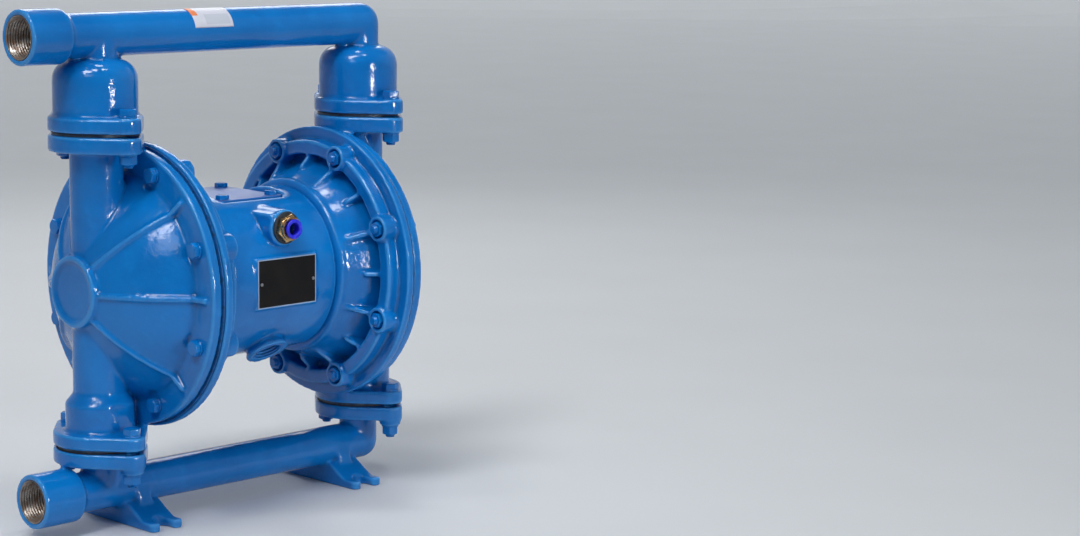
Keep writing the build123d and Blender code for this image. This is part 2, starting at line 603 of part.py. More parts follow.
# ---- air chambers and centre body --------------------------------------------------------------
def air_chamber():
    """Right-hand air chamber: ribbed cone from the body's collar to a bossed lip and flange."""
    cone_end = (AIR_FLANGE_BACK, CONE_END_R)
    shell = turned_x(
        Polyline((AIR_CHAMBER_START, 0), (AIR_CHAMBER_START, NECK_R), (COLLAR_START, COLLAR_R),
                 (COLLAR_END, COLLAR_R), cone_end,
                 (AIR_FLANGE_BACK, LIP_INNER_R), (LIP_FACE, LIP_INNER_R), (LIP_FACE, LIP_OUTER_R),
                 (AIR_FLANGE_BACK, LIP_OUTER_R), (AIR_FLANGE_BACK, AIR_FLANGE_R),
                 (AIR_FACE, AIR_FLANGE_R), (AIR_FACE, 0), close=True))
    for y, z in rim_places():
        shell += rod_x(BOSS_FACE, AIR_FACE, BOSS_R, y, z)
    long_rib = Polyline((COLLAR_END, COLLAR_R - RIB_ROOT), (COLLAR_END, COLLAR_R),
                        (BOSS_FACE + RIB_ROOT, RIM_BOLT_CIRCLE - BOSS_R + RIB_ROOT),
                        (AIR_FLANGE_BACK + OVERLAP, RIM_BOLT_CIRCLE - BOSS_R + RIB_ROOT),
                        (AIR_FLANGE_BACK + OVERLAP, CONE_END_R - RIB_ROOT), close=True)
    slope = (CONE_END_R - COLLAR_R) / (AIR_FLANGE_BACK - COLLAR_END)
    start_r = COLLAR_R + slope * (SHORT_RIB_START - COLLAR_END)
    short_rib = Polyline((SHORT_RIB_START, start_r - RIB_ROOT),
                         (SHORT_RIB_START, start_r + SHORT_RIB_RISE),
                         (LIP_FACE + SHORT_RIB_DROP, LIP_INNER_R + OVERLAP),
                         (AIR_FLANGE_BACK + OVERLAP, LIP_INNER_R + OVERLAP),
                         (AIR_FLANGE_BACK + OVERLAP, CONE_END_R - RIB_ROOT), close=True)
    step = 360.0 / RIM_BOLTS
    for k in range(RIM_BOLTS):
        shell += Rot(RIM_BOLT_START + step * k, 0, 0) * rib_plate(long_rib)
        shell += Rot(step * k, 0, 0) * rib_plate(short_rib)
    shell -= turned_x(
        Polyline((CAVITY_FLOOR, 0), (CAVITY_FLOOR, CAVITY_FLOOR_R), (AIR_FACE, BOWL_R - CAVITY_INSET),
                 (AIR_FACE, 0), close=True))
    recess_floor = BOSS_FACE + NUT_RECESS
    for y, z in rim_places():
        shell -= rod_x(BOSS_FACE, recess_floor, NUT_RECESS_R, y, z)
        shell -= rod_x(recess_floor, AIR_FACE, RIM_BOLT_R + BOLT_GAP, y, z)
    shell -= rod_x(AIR_CHAMBER_START, CAVITY_FLOOR, SHAFT_R + ROD_GAP)
    shell -= rod_x(AIR_CHAMBER_START, CAVITY_FLOOR, PILOT_R + ROD_GAP, PILOT_Y)
    for y, z in screw_places():
        shell -= rod_x(AIR_CHAMBER_START, CAVITY_FLOOR, SCREW_R + BOLT_GAP, y, z)
    return shell


def rib_plate(outline):
    """Flat rib drawn towards +Y in the plane through the shaft axis."""
    return extrude(make_face(outline), AIR_RIB / 2, both=True)


def centre_body():
    """Centre block: drum with valve box, inlet and exhaust bosses and the nameplate's pad."""
    drum = ring_x(-BODY_HALF, BODY_HALF, BODY_R)
    drum += block(-BOX_HALF_X, BOX_HALF_X, 0, BOX_REAR, BOX_BOTTOM - BLEND_DEPTH, COVER_SEAT)
    half_x = PLATE_HALF_X + PAD_MARGIN
    half_z = PLATE_HALF_Z + PAD_MARGIN
    drum += block(-half_x, half_x, PAD_FACE, -BODY_R + BLEND_DEPTH, -half_z, half_z)
    drum += rod_y(INLET_FACE, -BODY_R / 2, INLET_BOSS_R, 0, INLET_Z)
    drum += block(-INLET_HOOD_HALF, INLET_HOOD_HALF, INLET_FACE + INLET_HOOD_SETBACK, -BODY_R / 2,
                  INLET_Z, INLET_Z + INLET_HOOD_TOP)
    drum += exhaust(BODY_R - 2 * BLEND_DEPTH, EXHAUST_REACH, EXHAUST_BOSS_R)
    drum += exhaust(EXHAUST_REACH - EXHAUST_LIP, EXHAUST_REACH, EXHAUST_LIP_R)
    edge_x = BOX_HALF_X + COVER_MARGIN
    past = BODY_R + CUT_OVER
    seat = block(-edge_x, edge_x, BOX_FRONT - COVER_MARGIN, past, COVER_SEAT, past)
    drum -= fillet(seat.edges().filter_by(Axis.Z), COVER_CORNER)
    flat = block(-edge_x, edge_x, BOX_REAR, past, BOX_BOTTOM, past)
    drum -= fillet(flat.edges().filter_by(Axis.Y).group_by(Axis.Z)[0], COVER_CORNER)
    drum -= body_cavity()
    drum -= block(-POCKET_HALF_X, POCKET_HALF_X, BOX_FRONT + POCKET_MARGIN,
                  BOX_REAR - POCKET_MARGIN, COVER_SEAT - POCKET_DEPTH, COVER_SEAT)
    drum -= exhaust(EXHAUST_REACH - EXHAUST_DEPTH, EXHAUST_REACH, EXHAUST_BORE_R)
    drum -= rod_y(INLET_FACE, INLET_FACE + INLET_THREAD + THREAD_ROOM,
                  INLET_THREAD_R + THREAD_GAP, 0, INLET_Z)
    drum -= rod_y(INLET_FACE, BOX_FRONT + POCKET_MARGIN + CUT_OVER, AIRWAY_R, 0,
                  INLET_Z + AIRWAY_RAISE)
    drum -= rod_x(-BODY_HALF, BODY_HALF, SHAFT_R + ROD_GAP)
    drum -= rod_x(-BODY_HALF, BODY_HALF, PILOT_R + RUNNING_GAP, PILOT_Y)
    drum -= rod_x(-BODY_HALF, BODY_HALF, SLEEVE_R, VALVE_Y, VALVE_Z)
    for end in (-1, 1):
        drum -= rod_x(end * (BODY_HALF - BUSH_LENGTH), end * BODY_HALF, BUSH_R)
        for y, z in screw_places():
            drum -= rod_x(end * (BODY_HALF - BODY_END_WALL + CUT_OVER), end * BODY_HALF,
                          SCREW_R + THREAD_GAP, y, z)
    bottom = COVER_TOP - COVER_BOLT_LENGTH - THREAD_ROOM
    for x, y in cover_bolt_places():
        drum -= rod_z(bottom, COVER_SEAT, COVER_BOLT_R + THREAD_GAP, x, y)
    return drum


def body_cavity():
    """Exhaust space round the hub, below the solid block that carries the air valve."""
    inner = BODY_HALF - BODY_END_WALL
    space = ring_x(-inner, inner, BODY_R - BODY_WALL, HUB_R)
    space -= block(-inner, inner, -BODY_R, BODY_R, VALVE_Z - SLEEVE_R - BODY_WALL, BODY_R)
    return space - rod_x(-inner, inner, PILOT_R + BODY_WALL, PILOT_Y)


def exhaust(start, end, radius):
    """Round bar on the exhaust's slanting axis between two distances from the shaft."""
    return Rot(EXHAUST_ANGLE, 0, 0) * rod_y(-end, -start, radius)


def cover_bolt_places():
    rows = (BOX_FRONT + COVER_BOLT_INSET, BOX_REAR - COVER_BOLT_INSET)
    return [(x, y) for x in (-COVER_BOLT_X, COVER_BOLT_X) for y in rows]


def cover_sheet(bottom, thickness):
    """Sheet of the cover's outline with its bolt holes."""
    sheet = block(-BOX_HALF_X, BOX_HALF_X, BOX_FRONT, BOX_REAR, bottom, bottom + thickness)
    sheet = fillet(sheet.edges().filter_by(Axis.Z), COVER_CORNER - COVER_MARGIN)
    for x, y in cover_bolt_places():
        sheet -= rod_z(bottom, bottom + thickness, COVER_BOLT_R + BOLT_GAP, x, y)
    return sheet


def body_gasket():
    """Ring gasket between the body and the right air chamber."""
    ring = ring_x(BODY_HALF, AIR_CHAMBER_START, GASKET_OUTER_R, GASKET_INNER_R)
    for y, z in screw_places():
        ring -= rod_x(BODY_HALF, AIR_CHAMBER_START, SCREW_R + BOLT_GAP, y, z)
    return ring


def chamber_screws():
    """Socket screws that hold the right air chamber to the body, heads in the air space."""
    start = CAVITY_FLOOR - SCREW_LENGTH
    screws = []
    for y, z in screw_places():
        screw = rod_x(start, CAVITY_FLOOR, SCREW_R, y, z)
        screw += rod_x(CAVITY_FLOOR, CAVITY_FLOOR + SCREW_HEAD, SCREW_HEAD_R, y, z)
        screws.append(screw)
    return Compound(screws)


# ---- moving set: shaft, diaphragms and plates --------------------------------------------------
def shaft():
    """Diaphragm shaft with a threaded stud at each end."""
    shoulder = AIR_FACE - INNER_HUB
    return ring_x(-shoulder, shoulder, SHAFT_R) + ring_x(-STUD_END, STUD_END, STUD_R)


def inner_plate():
    """Air-side diaphragm plate with its hub."""
    hole = STUD_R + THREAD_GAP
    hub_face = AIR_FACE - INNER_HUB
    back = AIR_FACE - INNER_PLATE
    return turned_x(Polyline((hub_face, hole), (hub_face, INNER_HUB_R), (back, INNER_HUB_R),
                             (back, PLATE_R - PLATE_EDGE), (back + PLATE_EDGE, PLATE_R),
                             (AIR_FACE, PLATE_R), (AIR_FACE, hole), close=True))


def outer_plate():
    """Fluid-side diaphragm plate, dished at its rim."""
    hole = STUD_R + THREAD_GAP
    front = FLUID_FACE + OUTER_PLATE
    return turned_x(Polyline((FLUID_FACE, hole), (FLUID_FACE, PLATE_R),
                             (FLUID_FACE + PLATE_EDGE, PLATE_R), (front, PLATE_R - PLATE_DISH),
                             (front, OUTER_HUB_R), (front + OUTER_HUB, OUTER_HUB_R),
                             (front + OUTER_HUB, hole), close=True))


def plate_nut():
    """Nut on the shaft's stud."""
    start = FLUID_FACE + OUTER_PLATE + OUTER_HUB
    piece = nut(STUD_R, PLATE_NUT_AF, PLATE_NUT)
    return Pos(start, 0, 0) * Rot(0, -90, 0) * piece


def diaphragm():
    """Rubber diaphragm: flat clamped rim and centre with a rolled convolution between."""
    middle_r = (PLATE_R + ROLL_OUTER_R) / 2
    roll_inner_r = PLATE_R + ROLL_START
    air_side = ThreePointArc((AIR_FACE, ROLL_OUTER_R), (AIR_FACE - ROLL_SAG, middle_r),
                             (AIR_FACE, roll_inner_r))
    fluid_side = ThreePointArc((FLUID_FACE, roll_inner_r + ROLL_NECK),
                               (FLUID_FACE - ROLL_SAG, middle_r),
                               (FLUID_FACE, ROLL_OUTER_R - ROLL_NECK))
    hole = STUD_R + SEAT_GAP
    sheet = turned_x(
        Polyline((FLUID_FACE, ROLL_OUTER_R - ROLL_NECK), (FLUID_FACE, DIAPHRAGM_R),
                 (AIR_FACE, DIAPHRAGM_R), (AIR_FACE, ROLL_OUTER_R)),
        air_side,
        Polyline((AIR_FACE, roll_inner_r), (AIR_FACE, hole), (FLUID_FACE, hole),
                 (FLUID_FACE, roll_inner_r + ROLL_NECK)),
        fluid_side)
    for y, z in rim_places():
        sheet -= rod_x(AIR_FACE, FLUID_FACE, RIM_BOLT_R + BOLT_GAP, y, z)
    return sheet


def shaft_bush():
    """Bronze bush in the body's right end."""
    return ring_x(BODY_HALF - BUSH_LENGTH, BODY_HALF, BUSH_R, SHAFT_R + RUNNING_GAP)


def spool():
    """Air valve spool with three lands."""
    bar = rod_x(-SPOOL_HALF, SPOOL_HALF, SPOOL_WAIST_R)
    for centre in (SPOOL_LAND / 2 - SPOOL_HALF, 0, SPOOL_HALF - SPOOL_LAND / 2):
        bar += rod_x(centre - SPOOL_LAND / 2, centre + SPOOL_LAND / 2, SPOOL_R)
    return Pos(0, VALVE_Y, VALVE_Z) * bar


def valve_sleeve():
    """Sleeve that the spool runs in."""
    tube = ring_x(-SLEEVE_HALF, SLEEVE_HALF, SLEEVE_R, SPOOL_R + RUNNING_GAP)
    return Pos(0, VALVE_Y, VALVE_Z) * tube


# ---- ball valves -------------------------------------------------------------------------------
def valve_seat(x, bottom, flange_bottom, spigot_r, ball_z):
    """Seat ring: flange clamped in the joint, spigot in the cage, spherical seat under the ball."""
    ring = rod_z(bottom, bottom + SEAT_SPIGOT, spigot_r, x)
    ring += rod_z(flange_bottom, flange_bottom + SEAT_FLANGE, SEAT_FLANGE_R, x)
    ring -= rod_z(bottom, bottom + SEAT_SPIGOT, SEAT_BORE_R, x)
    return ring - Pos(x, 0, ball_z) * Sphere(BALL_R + SEAT_GAP)


def seat_gasket(x, bottom, inner_r):
    """Flat gasket between seat flange and casting."""
    thickness = JOINT_GAP - SEAT_FLANGE
    return rod_z(bottom, bottom + thickness, SEAT_GASKET_R, x) - rod_z(
        bottom, bottom + thickness, inner_r, x)


# ---- air inlet fitting -------------------------------------------------------------------------
def turned_y(z, *edges):
    """Solid of revolution about an axis parallel to Y from edges drawn as (radius, y)."""
    return Pos(0, 0, z) * revolve(make_face(edges), Axis.Y)


def inlet_fitting():
    """Brass push-in fitting: thread, hexagon, neck, tube socket and space for the release ring."""
    hex_front = INLET_FACE - FITTING_HEX
    front = hex_front - FITTING_NECK
    body = rod_y(INLET_FACE, INLET_FACE + INLET_THREAD, INLET_THREAD_R, 0, INLET_Z)
    body += Pos(0, INLET_FACE, INLET_Z) * Rot(90, 0, 0) * hexagon_z(0, FITTING_HEX, FITTING_HEX_AF)
    body += rod_y(front, hex_front, FITTING_NECK_R, 0, INLET_Z)
    sleeve_end = front + RELEASE_SLEEVE + RELEASE_TRAVEL
    return body - turned_y(INLET_Z, Polyline(
        (0, front), (RELEASE_SLEEVE_R + SEAT_GAP, front), (RELEASE_SLEEVE_R + SEAT_GAP, sleeve_end),
        (TUBE_BORE_R, sleeve_end), (TUBE_BORE_R, front + TUBE_DEPTH), (AIRWAY_R, front + TUBE_DEPTH),
        (AIRWAY_R, INLET_FACE + INLET_THREAD), (0, INLET_FACE + INLET_THREAD), close=True))


def release_ring():
    """Plastic ring that is pressed in to let the tube go."""
    front = INLET_FACE - FITTING_HEX - FITTING_NECK
    head_back = front - RELEASE_TRAVEL - SEAT_GAP
    head_front = head_back - RELEASE_HEAD
    return turned_y(INLET_Z, Polyline(
        (TUBE_BORE_R, head_front), (RELEASE_HEAD_R, head_front), (RELEASE_HEAD_R, head_back),
        (RELEASE_SLEEVE_R, head_back), (RELEASE_SLEEVE_R, head_back + RELEASE_SLEEVE),
        (TUBE_BORE_R, head_back + RELEASE_SLEEVE), close=True))


# ---- fasteners ---------------------------------------------------------------------------------
def rim_bolt_parts():
    """Bolts, washers and nuts round the right-hand chamber flanges."""
    start = FLUID_OUT + WASHER
    end = BOSS_FACE + NUT_RECESS - RIM_NUT - RIM_STUB
    pieces = {"bolts": [], "washers": [], "nuts": []}
    for y, z in rim_places():
        outward = Pos(0, y, z) * Rot(0, 90, 0)
        pieces["bolts"].append(
            Pos(start, 0, 0) * outward * bolt(RIM_BOLT_R, RIM_BOLT_AF, RIM_HEAD, start - end))
        pieces["washers"].append(Pos(FLUID_OUT, 0, 0) * outward * washer(RIM_BOLT_R, RIM_BOLT_AF))
        pieces["nuts"].append(
            Pos(BOSS_FACE + NUT_RECESS, 0, 0) * outward * nut(RIM_BOLT_R, RIM_BOLT_AF, RIM_NUT))
    return {kind: Compound(items) for kind, items in pieces.items()}


def flange_bolt_parts(top, bottom):
    """Bolts, washers and nuts of one manifold: head washer on top, nut washer under bottom."""
    pieces = {"bolts": [], "washers": [], "nuts": []}
    length = top - bottom + 2 * WASHER + FLANGE_NUT + FLANGE_STUB
    for x in (-RISER_X, RISER_X):
        for y in (-FLANGE_BOLT_Y, FLANGE_BOLT_Y):
            place = Pos(x, y, 0)
            pieces["bolts"].append(
                place * Pos(0, 0, top + WASHER) * bolt(FLANGE_BOLT_R, FLANGE_BOLT_AF, FLANGE_HEAD, length))
            for level in (top, bottom - WASHER):
                pieces["washers"].append(
                    place * Pos(0, 0, level) * washer(FLANGE_BOLT_R, FLANGE_BOLT_AF))
            pieces["nuts"].append(
                place * Pos(0, 0, bottom - WASHER) * nut(FLANGE_BOLT_R, FLANGE_BOLT_AF, FLANGE_NUT))
    return {kind: Compound(items) for kind, items in pieces.items()}


def cover_bolts():
    """Hex bolts of the valve cover."""
    items = []
    for x, y in cover_bolt_places():
        items.append(Pos(x, y, COVER_TOP) * bolt(COVER_BOLT_R, COVER_BOLT_AF, COVER_BOLT_HEAD,
                                                 COVER_BOLT_LENGTH))
    return Compound(items)


def rivets():
    """Two rivets through the nameplate into its pad."""
    face = PAD_FACE - PLATE_THICKNESS
    return Compound([rod_y(face - RIVET_HEAD, face, RIVET_R, x, 0) for x in (-RIVET_X, RIVET_X)])


# ---- assembly ----------------------------------------------------------------------------------
def assembly():
    """All pieces by node name, about the shaft's centre."""
    parts = {
        "discharge_manifold": discharge_manifold(),
        "suction_manifold": suction_manifold(),
        "centre_body": centre_body(),
        "valve_cover": cover_sheet(COVER_SEAT + COVER_GASKET, COVER),
        "valve_cover_gasket": cover_sheet(COVER_SEAT, COVER_GASKET),
        "valve_cover_bolts": cover_bolts(),
        "nameplate": block(-PLATE_HALF_X, PLATE_HALF_X, PAD_FACE - PLATE_THICKNESS, PAD_FACE,
                           -PLATE_HALF_Z, PLATE_HALF_Z),
        "nameplate_rivets": rivets(),
        "air_inlet_fitting": inlet_fitting(),
        "tube_release_ring": release_ring(),
        "air_valve_sleeve": valve_sleeve(),
        "air_valve_spool": spool(),
        "pilot_rod": rod_x(-PILOT_HALF, PILOT_HALF, PILOT_R, PILOT_Y),
        "diaphragm_shaft": shaft(),
    }
    mirrored = {
        "fluid_chamber": fluid_chamber(),
        "air_chamber": air_chamber(),
        "body_gasket": body_gasket(),
        "chamber_screws": chamber_screws(),
        "shaft_bush": shaft_bush(),
        "diaphragm": diaphragm(),
        "inner_plate": inner_plate(),
        "outer_plate": outer_plate(),
        "plate_nut": plate_nut(),
    }
    for kind, pieces in rim_bolt_parts().items():
        mirrored["rim_" + kind] = pieces
    for name, right in mirrored.items():
        for side, piece in both_sides(right).items():
            parts[name + "_" + side] = piece
    flange_top = MANIFOLD_FACE + MANIFOLD_FLANGE + FLANGE_BOSS_RISE
    for kind, pieces in flange_bolt_parts(flange_top, JOINT_FACE - TOP_FLANGE).items():
        parts["discharge_flange_" + kind] = pieces
    flange_bottom = -MANIFOLD_FACE - MANIFOLD_FLANGE - SUCTION_BOSS_DROP
    for kind, pieces in flange_bolt_parts(BOTTOM_FLANGE - JOINT_FACE, flange_bottom).items():
        parts["suction_flange_" + kind] = pieces
    cage_r = FLARE_R - FLARE_WALL - SEAT_GAP
    dome_r = DOME_R - DOME_WALL - SEAT_GAP
    for side, x in (("left", -RISER_X), ("right", RISER_X)):
        parts["suction_seat_" + side] = valve_seat(
            x, -MANIFOLD_FACE, -JOINT_FACE - SEAT_FLANGE, cage_r, SUCTION_BALL_Z)
        parts["discharge_seat_" + side] = valve_seat(
            x, JOINT_FACE, JOINT_FACE, dome_r, DISCHARGE_BALL_Z)
        parts["suction_ball_" + side] = Pos(x, 0, SUCTION_BALL_Z) * Sphere(BALL_R)
        parts["discharge_ball_" + side] = Pos(x, 0, DISCHARGE_BALL_Z) * Sphere(BALL_R)
    sides = (-RISER_X, RISER_X)
    parts["suction_seat_gaskets"] = Compound(
        [seat_gasket(x, -MANIFOLD_FACE, cage_r + SEAT_GAP) for x in sides])
    parts["discharge_seat_gaskets"] = Compound(
        [seat_gasket(x, JOINT_FACE + SEAT_FLANGE, dome_r + SEAT_GAP) for x in sides])
    return parts


os.makedirs("parts", exist_ok=True)
for node, piece in assembly().items():
    export_step(PLACE * piece, f"parts/{node}.step")
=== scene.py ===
import json
import math

import bpy
import numpy as np
from mathutils import Matrix

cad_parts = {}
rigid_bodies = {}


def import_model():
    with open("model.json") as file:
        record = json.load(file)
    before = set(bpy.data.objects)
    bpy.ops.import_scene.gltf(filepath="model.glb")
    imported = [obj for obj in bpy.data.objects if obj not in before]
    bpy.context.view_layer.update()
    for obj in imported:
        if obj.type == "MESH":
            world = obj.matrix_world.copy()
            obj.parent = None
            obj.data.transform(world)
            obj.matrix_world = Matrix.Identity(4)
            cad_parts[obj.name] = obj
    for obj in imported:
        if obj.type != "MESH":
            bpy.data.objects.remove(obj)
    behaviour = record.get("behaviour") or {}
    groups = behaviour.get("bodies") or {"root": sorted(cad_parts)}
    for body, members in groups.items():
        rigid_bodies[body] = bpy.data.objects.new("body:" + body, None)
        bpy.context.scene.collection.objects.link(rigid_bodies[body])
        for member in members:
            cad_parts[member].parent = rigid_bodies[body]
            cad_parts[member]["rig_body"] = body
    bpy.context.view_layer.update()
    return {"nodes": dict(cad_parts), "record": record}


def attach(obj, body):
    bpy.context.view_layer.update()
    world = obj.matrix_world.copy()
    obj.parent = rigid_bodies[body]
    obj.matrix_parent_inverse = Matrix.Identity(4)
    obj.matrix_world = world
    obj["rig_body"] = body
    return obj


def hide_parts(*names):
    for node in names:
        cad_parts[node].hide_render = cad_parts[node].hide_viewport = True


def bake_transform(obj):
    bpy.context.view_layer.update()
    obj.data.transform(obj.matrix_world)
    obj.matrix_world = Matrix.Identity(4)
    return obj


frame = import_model()
nodes = frame["nodes"]

# ---- driving sizes, in metres and from the shaft's middle ----------------------------------------
MM = 0.001
SHAFT = np.array((0.0275, 0.0, 0.320))          # middle of the diaphragm shaft
SIDES = (("left", -1), ("right", 1))
COVER_TOP = 106 * MM                            # upper face of the valve cover
UPPER_PIPE = 333.5 * MM                         # height of the discharge pipe's axis
LOWER_PIPE = -269.5 * MM                        # height of the suction pipe's axis

# Casting skins: mesh width, least inside radii, and passes that round the outside edges
SKIN_GRID = 2.2 * MM
FILLET = 6 * MM
BOWL_FILLET = 4.5 * MM
LIP_FILLET = 3 * MM
EDGE_PASSES = 2
EDGE_GAIN = 9                                   # bend of the skin to the edge value and the painted corner shade, which end at 1

# Fasteners: radius, across flats, head, nut and stub
RIM_BOLT = (6 * MM, 19 * MM, 7.5 * MM, 10 * MM, 5 * MM)
FLANGE_BOLT = (7 * MM, 21 * MM, 8.8 * MM, 11 * MM, 4 * MM)
COVER_BOLT = (5 * MM, 16 * MM, 6.4 * MM, 0, 0)
WASHER = 2.5 * MM
WASHER_MARGIN = 1.6 * MM
THREAD_PITCH = 2 * MM
THREAD_CUT = 0.9 * MM
TURN_SEED = 7

# Where they stand: seats of heads and nuts along the bolts, and places across them
RIM_CIRCLE = 165 * MM
RIM_BOLTS = 8
RIM_START = math.radians(22.5)
RIM_SEAT = 183 * MM
RIM_NUT_SEAT = 134 * MM
RISER_X = 226 * MM
FLANGE_BOLT_Y = 70 * MM
UPPER_SEATS = (233.5 * MM, 181 * MM)
LOWER_SEATS = (-184.5 * MM, -239.5 * MM)
COVER_BOLT_X = 42 * MM
COVER_BOLT_Y = (-29 * MM, 81 * MM)

# Ports: thread radius, depth and pitch; places of their mouths
PORT_THREAD = (28.25 * MM, 42 * MM, 4 * MM)
EXHAUST_THREAD = (19.3 * MM, 24 * MM, 4 * MM)
UPPER_MOUTH = -343 * MM
LOWER_MOUTH = -336 * MM
EXHAUST_SLANT = math.radians(55)                # below the horizontal
EXHAUST_FACE = 126 * MM
INLET_FACE = (0, -112 * MM, 72.5 * MM)
INLET_SEAL = 2.4 * MM                           # height of the seal under the fitting

# Diaphragms, in millimetres along the shaft and out from it
SHEET = (162.0, 166.0)                          # air face and fluid face
ROLL = (91.0, 142.0)                            # edges of the rolled part
ROLL_DEPTH = 13.0
HUB_HOLE = 8.3
RIM_EDGE = 183.0
BEAD_EDGE = 188.0
ROLL_SECTORS = 16

# Sticker on the discharge pipe: ends in millimetres, and turns in degrees from the front
STICKER_X = (-84, -20)
STICKER_TURN = (10, 88)
STICKER_RADIUS = 29.25 * MM

# Floor: half its width, and the radius of its flat part
FLOOR_REACH = 20
FLOOR_FLAT = 12

# Camera: angles in radians, distance from the shaft's middle, lens and sensor in millimetres
VIEW_TURN = -0.79                               # round the pump from the front
VIEW_RISE = 0.1537
VIEW_ROLL = 0.0114
VIEW_DISTANCE = 3.5058
VIEW_LENS = 84.87
SENSOR = 36
FRAME_SIZE = (1080, 536)
PUMP_AT = (233.98, 271.39)                      # shaft's middle in the frame, in pixels


# ---- shader maths --------------------------------------------------------------------------------
class Wire:
    """A shader socket that takes part in Python expressions."""

    def __init__(self, paint, socket):
        self.paint = paint
        self.socket = socket

    def maths(self, operation, *others):
        return self.paint.maths(operation, self, *others)

    def __add__(self, other):
        return self.maths("ADD", other)

    def __mul__(self, other):
        return self.maths("MULTIPLY", other)

    def __sub__(self, other):
        return self.maths("SUBTRACT", other)

    def __pow__(self, other):
        return self.maths("POWER", other)


class Paint:
    """A material and the helpers that add its nodes."""

    def __init__(self, name):
        self.material = bpy.data.materials.new(name)
        self.material.use_nodes = True
        self.tree = self.material.node_tree
        self.shader = self.tree.nodes["Principled BSDF"]
        self.place = self.node("ShaderNodeTexCoord", {}, {}, "Object")

    def node(self, kind, settings, inputs, output=0):
        """Adds a node: settings first, then values or links of its sockets by place or name."""
        made = self.tree.nodes.new(kind)
        for key, value in settings.items():
            setattr(made, key, value)
        pairs = inputs.items() if isinstance(inputs, dict) else enumerate(inputs)
        for key, value in pairs:
            if isinstance(value, Wire):
                self.tree.links.new(value.socket, made.inputs[key])
            else:
                made.inputs[key].default_value = value
        return Wire(self, made.outputs[output])

    def maths(self, operation, *values):
        return self.node("ShaderNodeMath", {"operation": operation}, values)

    def noise(self, scale, detail=2.0, roughness=0.5, place=None):
        return self.node("ShaderNodeTexNoise", {},
                         {"Vector": place or self.place, "Scale": scale, "Detail": detail,
                          "Roughness": roughness}, "Fac")

    def ramp(self, value, low, high, out_low=0.0, out_high=1.0):
        """Smooth step of a value from low..high to out_low..out_high."""
        return self.node("ShaderNodeMapRange", {"interpolation_type": "SMOOTHSTEP"},
                         {"Value": value, "From Min": low, "From Max": high,
                          "To Min": out_low, "To Max": out_high})

    def mix(self, amount, first, second):
        """Colour between first and second."""
        return self.node("ShaderNodeMix", {"data_type": "RGBA"},
                         {0: amount, 6: first, 7: second}, 2)

    def attribute(self, name):
        return self.node("ShaderNodeAttribute", {"attribute_name": name}, {}, "Fac")

    def split(self, vector, axis):
        return self.node("ShaderNodeSeparateXYZ", {}, {"Vector": vector}, axis)

    def bump(self, height, distance, strength=1.0, under=None):
        inputs = {"Height": height, "Distance": distance, "Strength": strength}
        if under:
            inputs["Normal"] = under
        return self.node("ShaderNodeBump", {}, inputs, "Normal")

    def set(self, **sockets):
        """Feeds the shader's sockets, with underscores for the spaces in their names."""
        for key, value in sockets.items():
            socket = self.shader.inputs[key.replace("_", " ")]
            if isinstance(value, Wire):
                self.tree.links.new(value.socket, socket)
            else:
                socket.default_value = value
        return self.material


def srgb(red, green, blue):
    """Linear colour of 0-255 display values."""
    values = np.array((red, green, blue)) / 255
    linear = np.where(values <= 0.04045, values / 12.92, ((values + 0.055) / 1.055) ** 2.4)
    return (*linear.tolist(), 1.0)


# ---- finishes ------------------------------------------------------------------------------------
ENAMEL_DEEP = srgb(2, 104, 180)
ENAMEL_LIGHT = srgb(6, 116, 194)
ENAMEL_MOTTLE = srgb(14, 130, 210)
ENAMEL_EDGE = srgb(72, 158, 222)
# painted shade: darker enamel for corners and hollows
ENAMEL_PAINTED_SHADE = srgb(0, 58, 112)
DUST = srgb(130, 160, 180)
OVERSPRAY = srgb(10, 92, 160)


def enamel_colour(paint):
    """Blue enamel's colour: slow change of tone, paler on edges where it is thin, and darker in corners
    and hollows as painted shade.
    """
    tone = paint.ramp(paint.noise(9, 3, 0.55), 0.35, 0.68)
    mottle = paint.ramp(paint.noise(55, 4, 0.6), 0.5, 0.8, 0.0, 0.35)
    base = paint.mix(mottle, paint.mix(tone, ENAMEL_DEEP, ENAMEL_LIGHT), ENAMEL_MOTTLE)
    edge = paint.ramp(paint.attribute("edge"), 0.2, 1.0, 0.0, 0.55)
    base = paint.mix(edge, base, ENAMEL_EDGE)
    # painted shade: the enamel goes darker where the skin bends inward, in corners and hollows
    corner_shade = paint.ramp(paint.attribute("corner_shade"), 0.2, 1.0, 0.0, 0.6)
    return paint.mix(corner_shade, base, ENAMEL_PAINTED_SHADE)


def enamel_relief(paint):
    """Sand casting's grain under thick enamel, over slow ripples."""
    relief = paint.bump(paint.noise(46, 3, 0.5), 1.6 * MM, 0.5)
    relief = paint.bump(paint.noise(190, 2, 0.5), 0.3 * MM, 0.7, relief)
    return paint.bump(paint.noise(620, 2, 0.5), 0.08 * MM, 0.5, relief)


def blue_enamel():
    """Glossy blue enamel with a little dust in it."""
    paint = Paint("blue_enamel")
    base = enamel_colour(paint)
    dust = paint.ramp(paint.noise(170, 5, 0.7), 0.68, 0.82, 0.0, 0.08)
    base = paint.mix(dust, base, DUST)
    sheen = paint.ramp(paint.noise(30, 4, 0.6), 0.3, 0.7, 0.09, 0.17) + dust * 2
    return paint.set(Base_Color=base, Roughness=sheen, Normal=enamel_relief(paint), IOR=1.5)


def pale_top_enamel(top):
    """Enamel of the valve cover: pale and flat on its upper face, blue below that."""
    paint = Paint("cover_enamel")
    mottle = paint.noise(60, 4, 0.6)
    pale = paint.mix(paint.ramp(mottle, 0.4, 0.62), srgb(84, 118, 188), srgb(120, 142, 196))
    height = paint.ramp(paint.split(paint.place, "Z"), top - 1.2 * MM, top - 0.2 * MM)
    base = paint.mix(height, enamel_colour(paint), pale)
    return paint.set(Base_Color=base, Roughness=paint.ramp(mottle, 0.3, 0.7, 0.28, 0.42),
                     Normal=enamel_relief(paint))


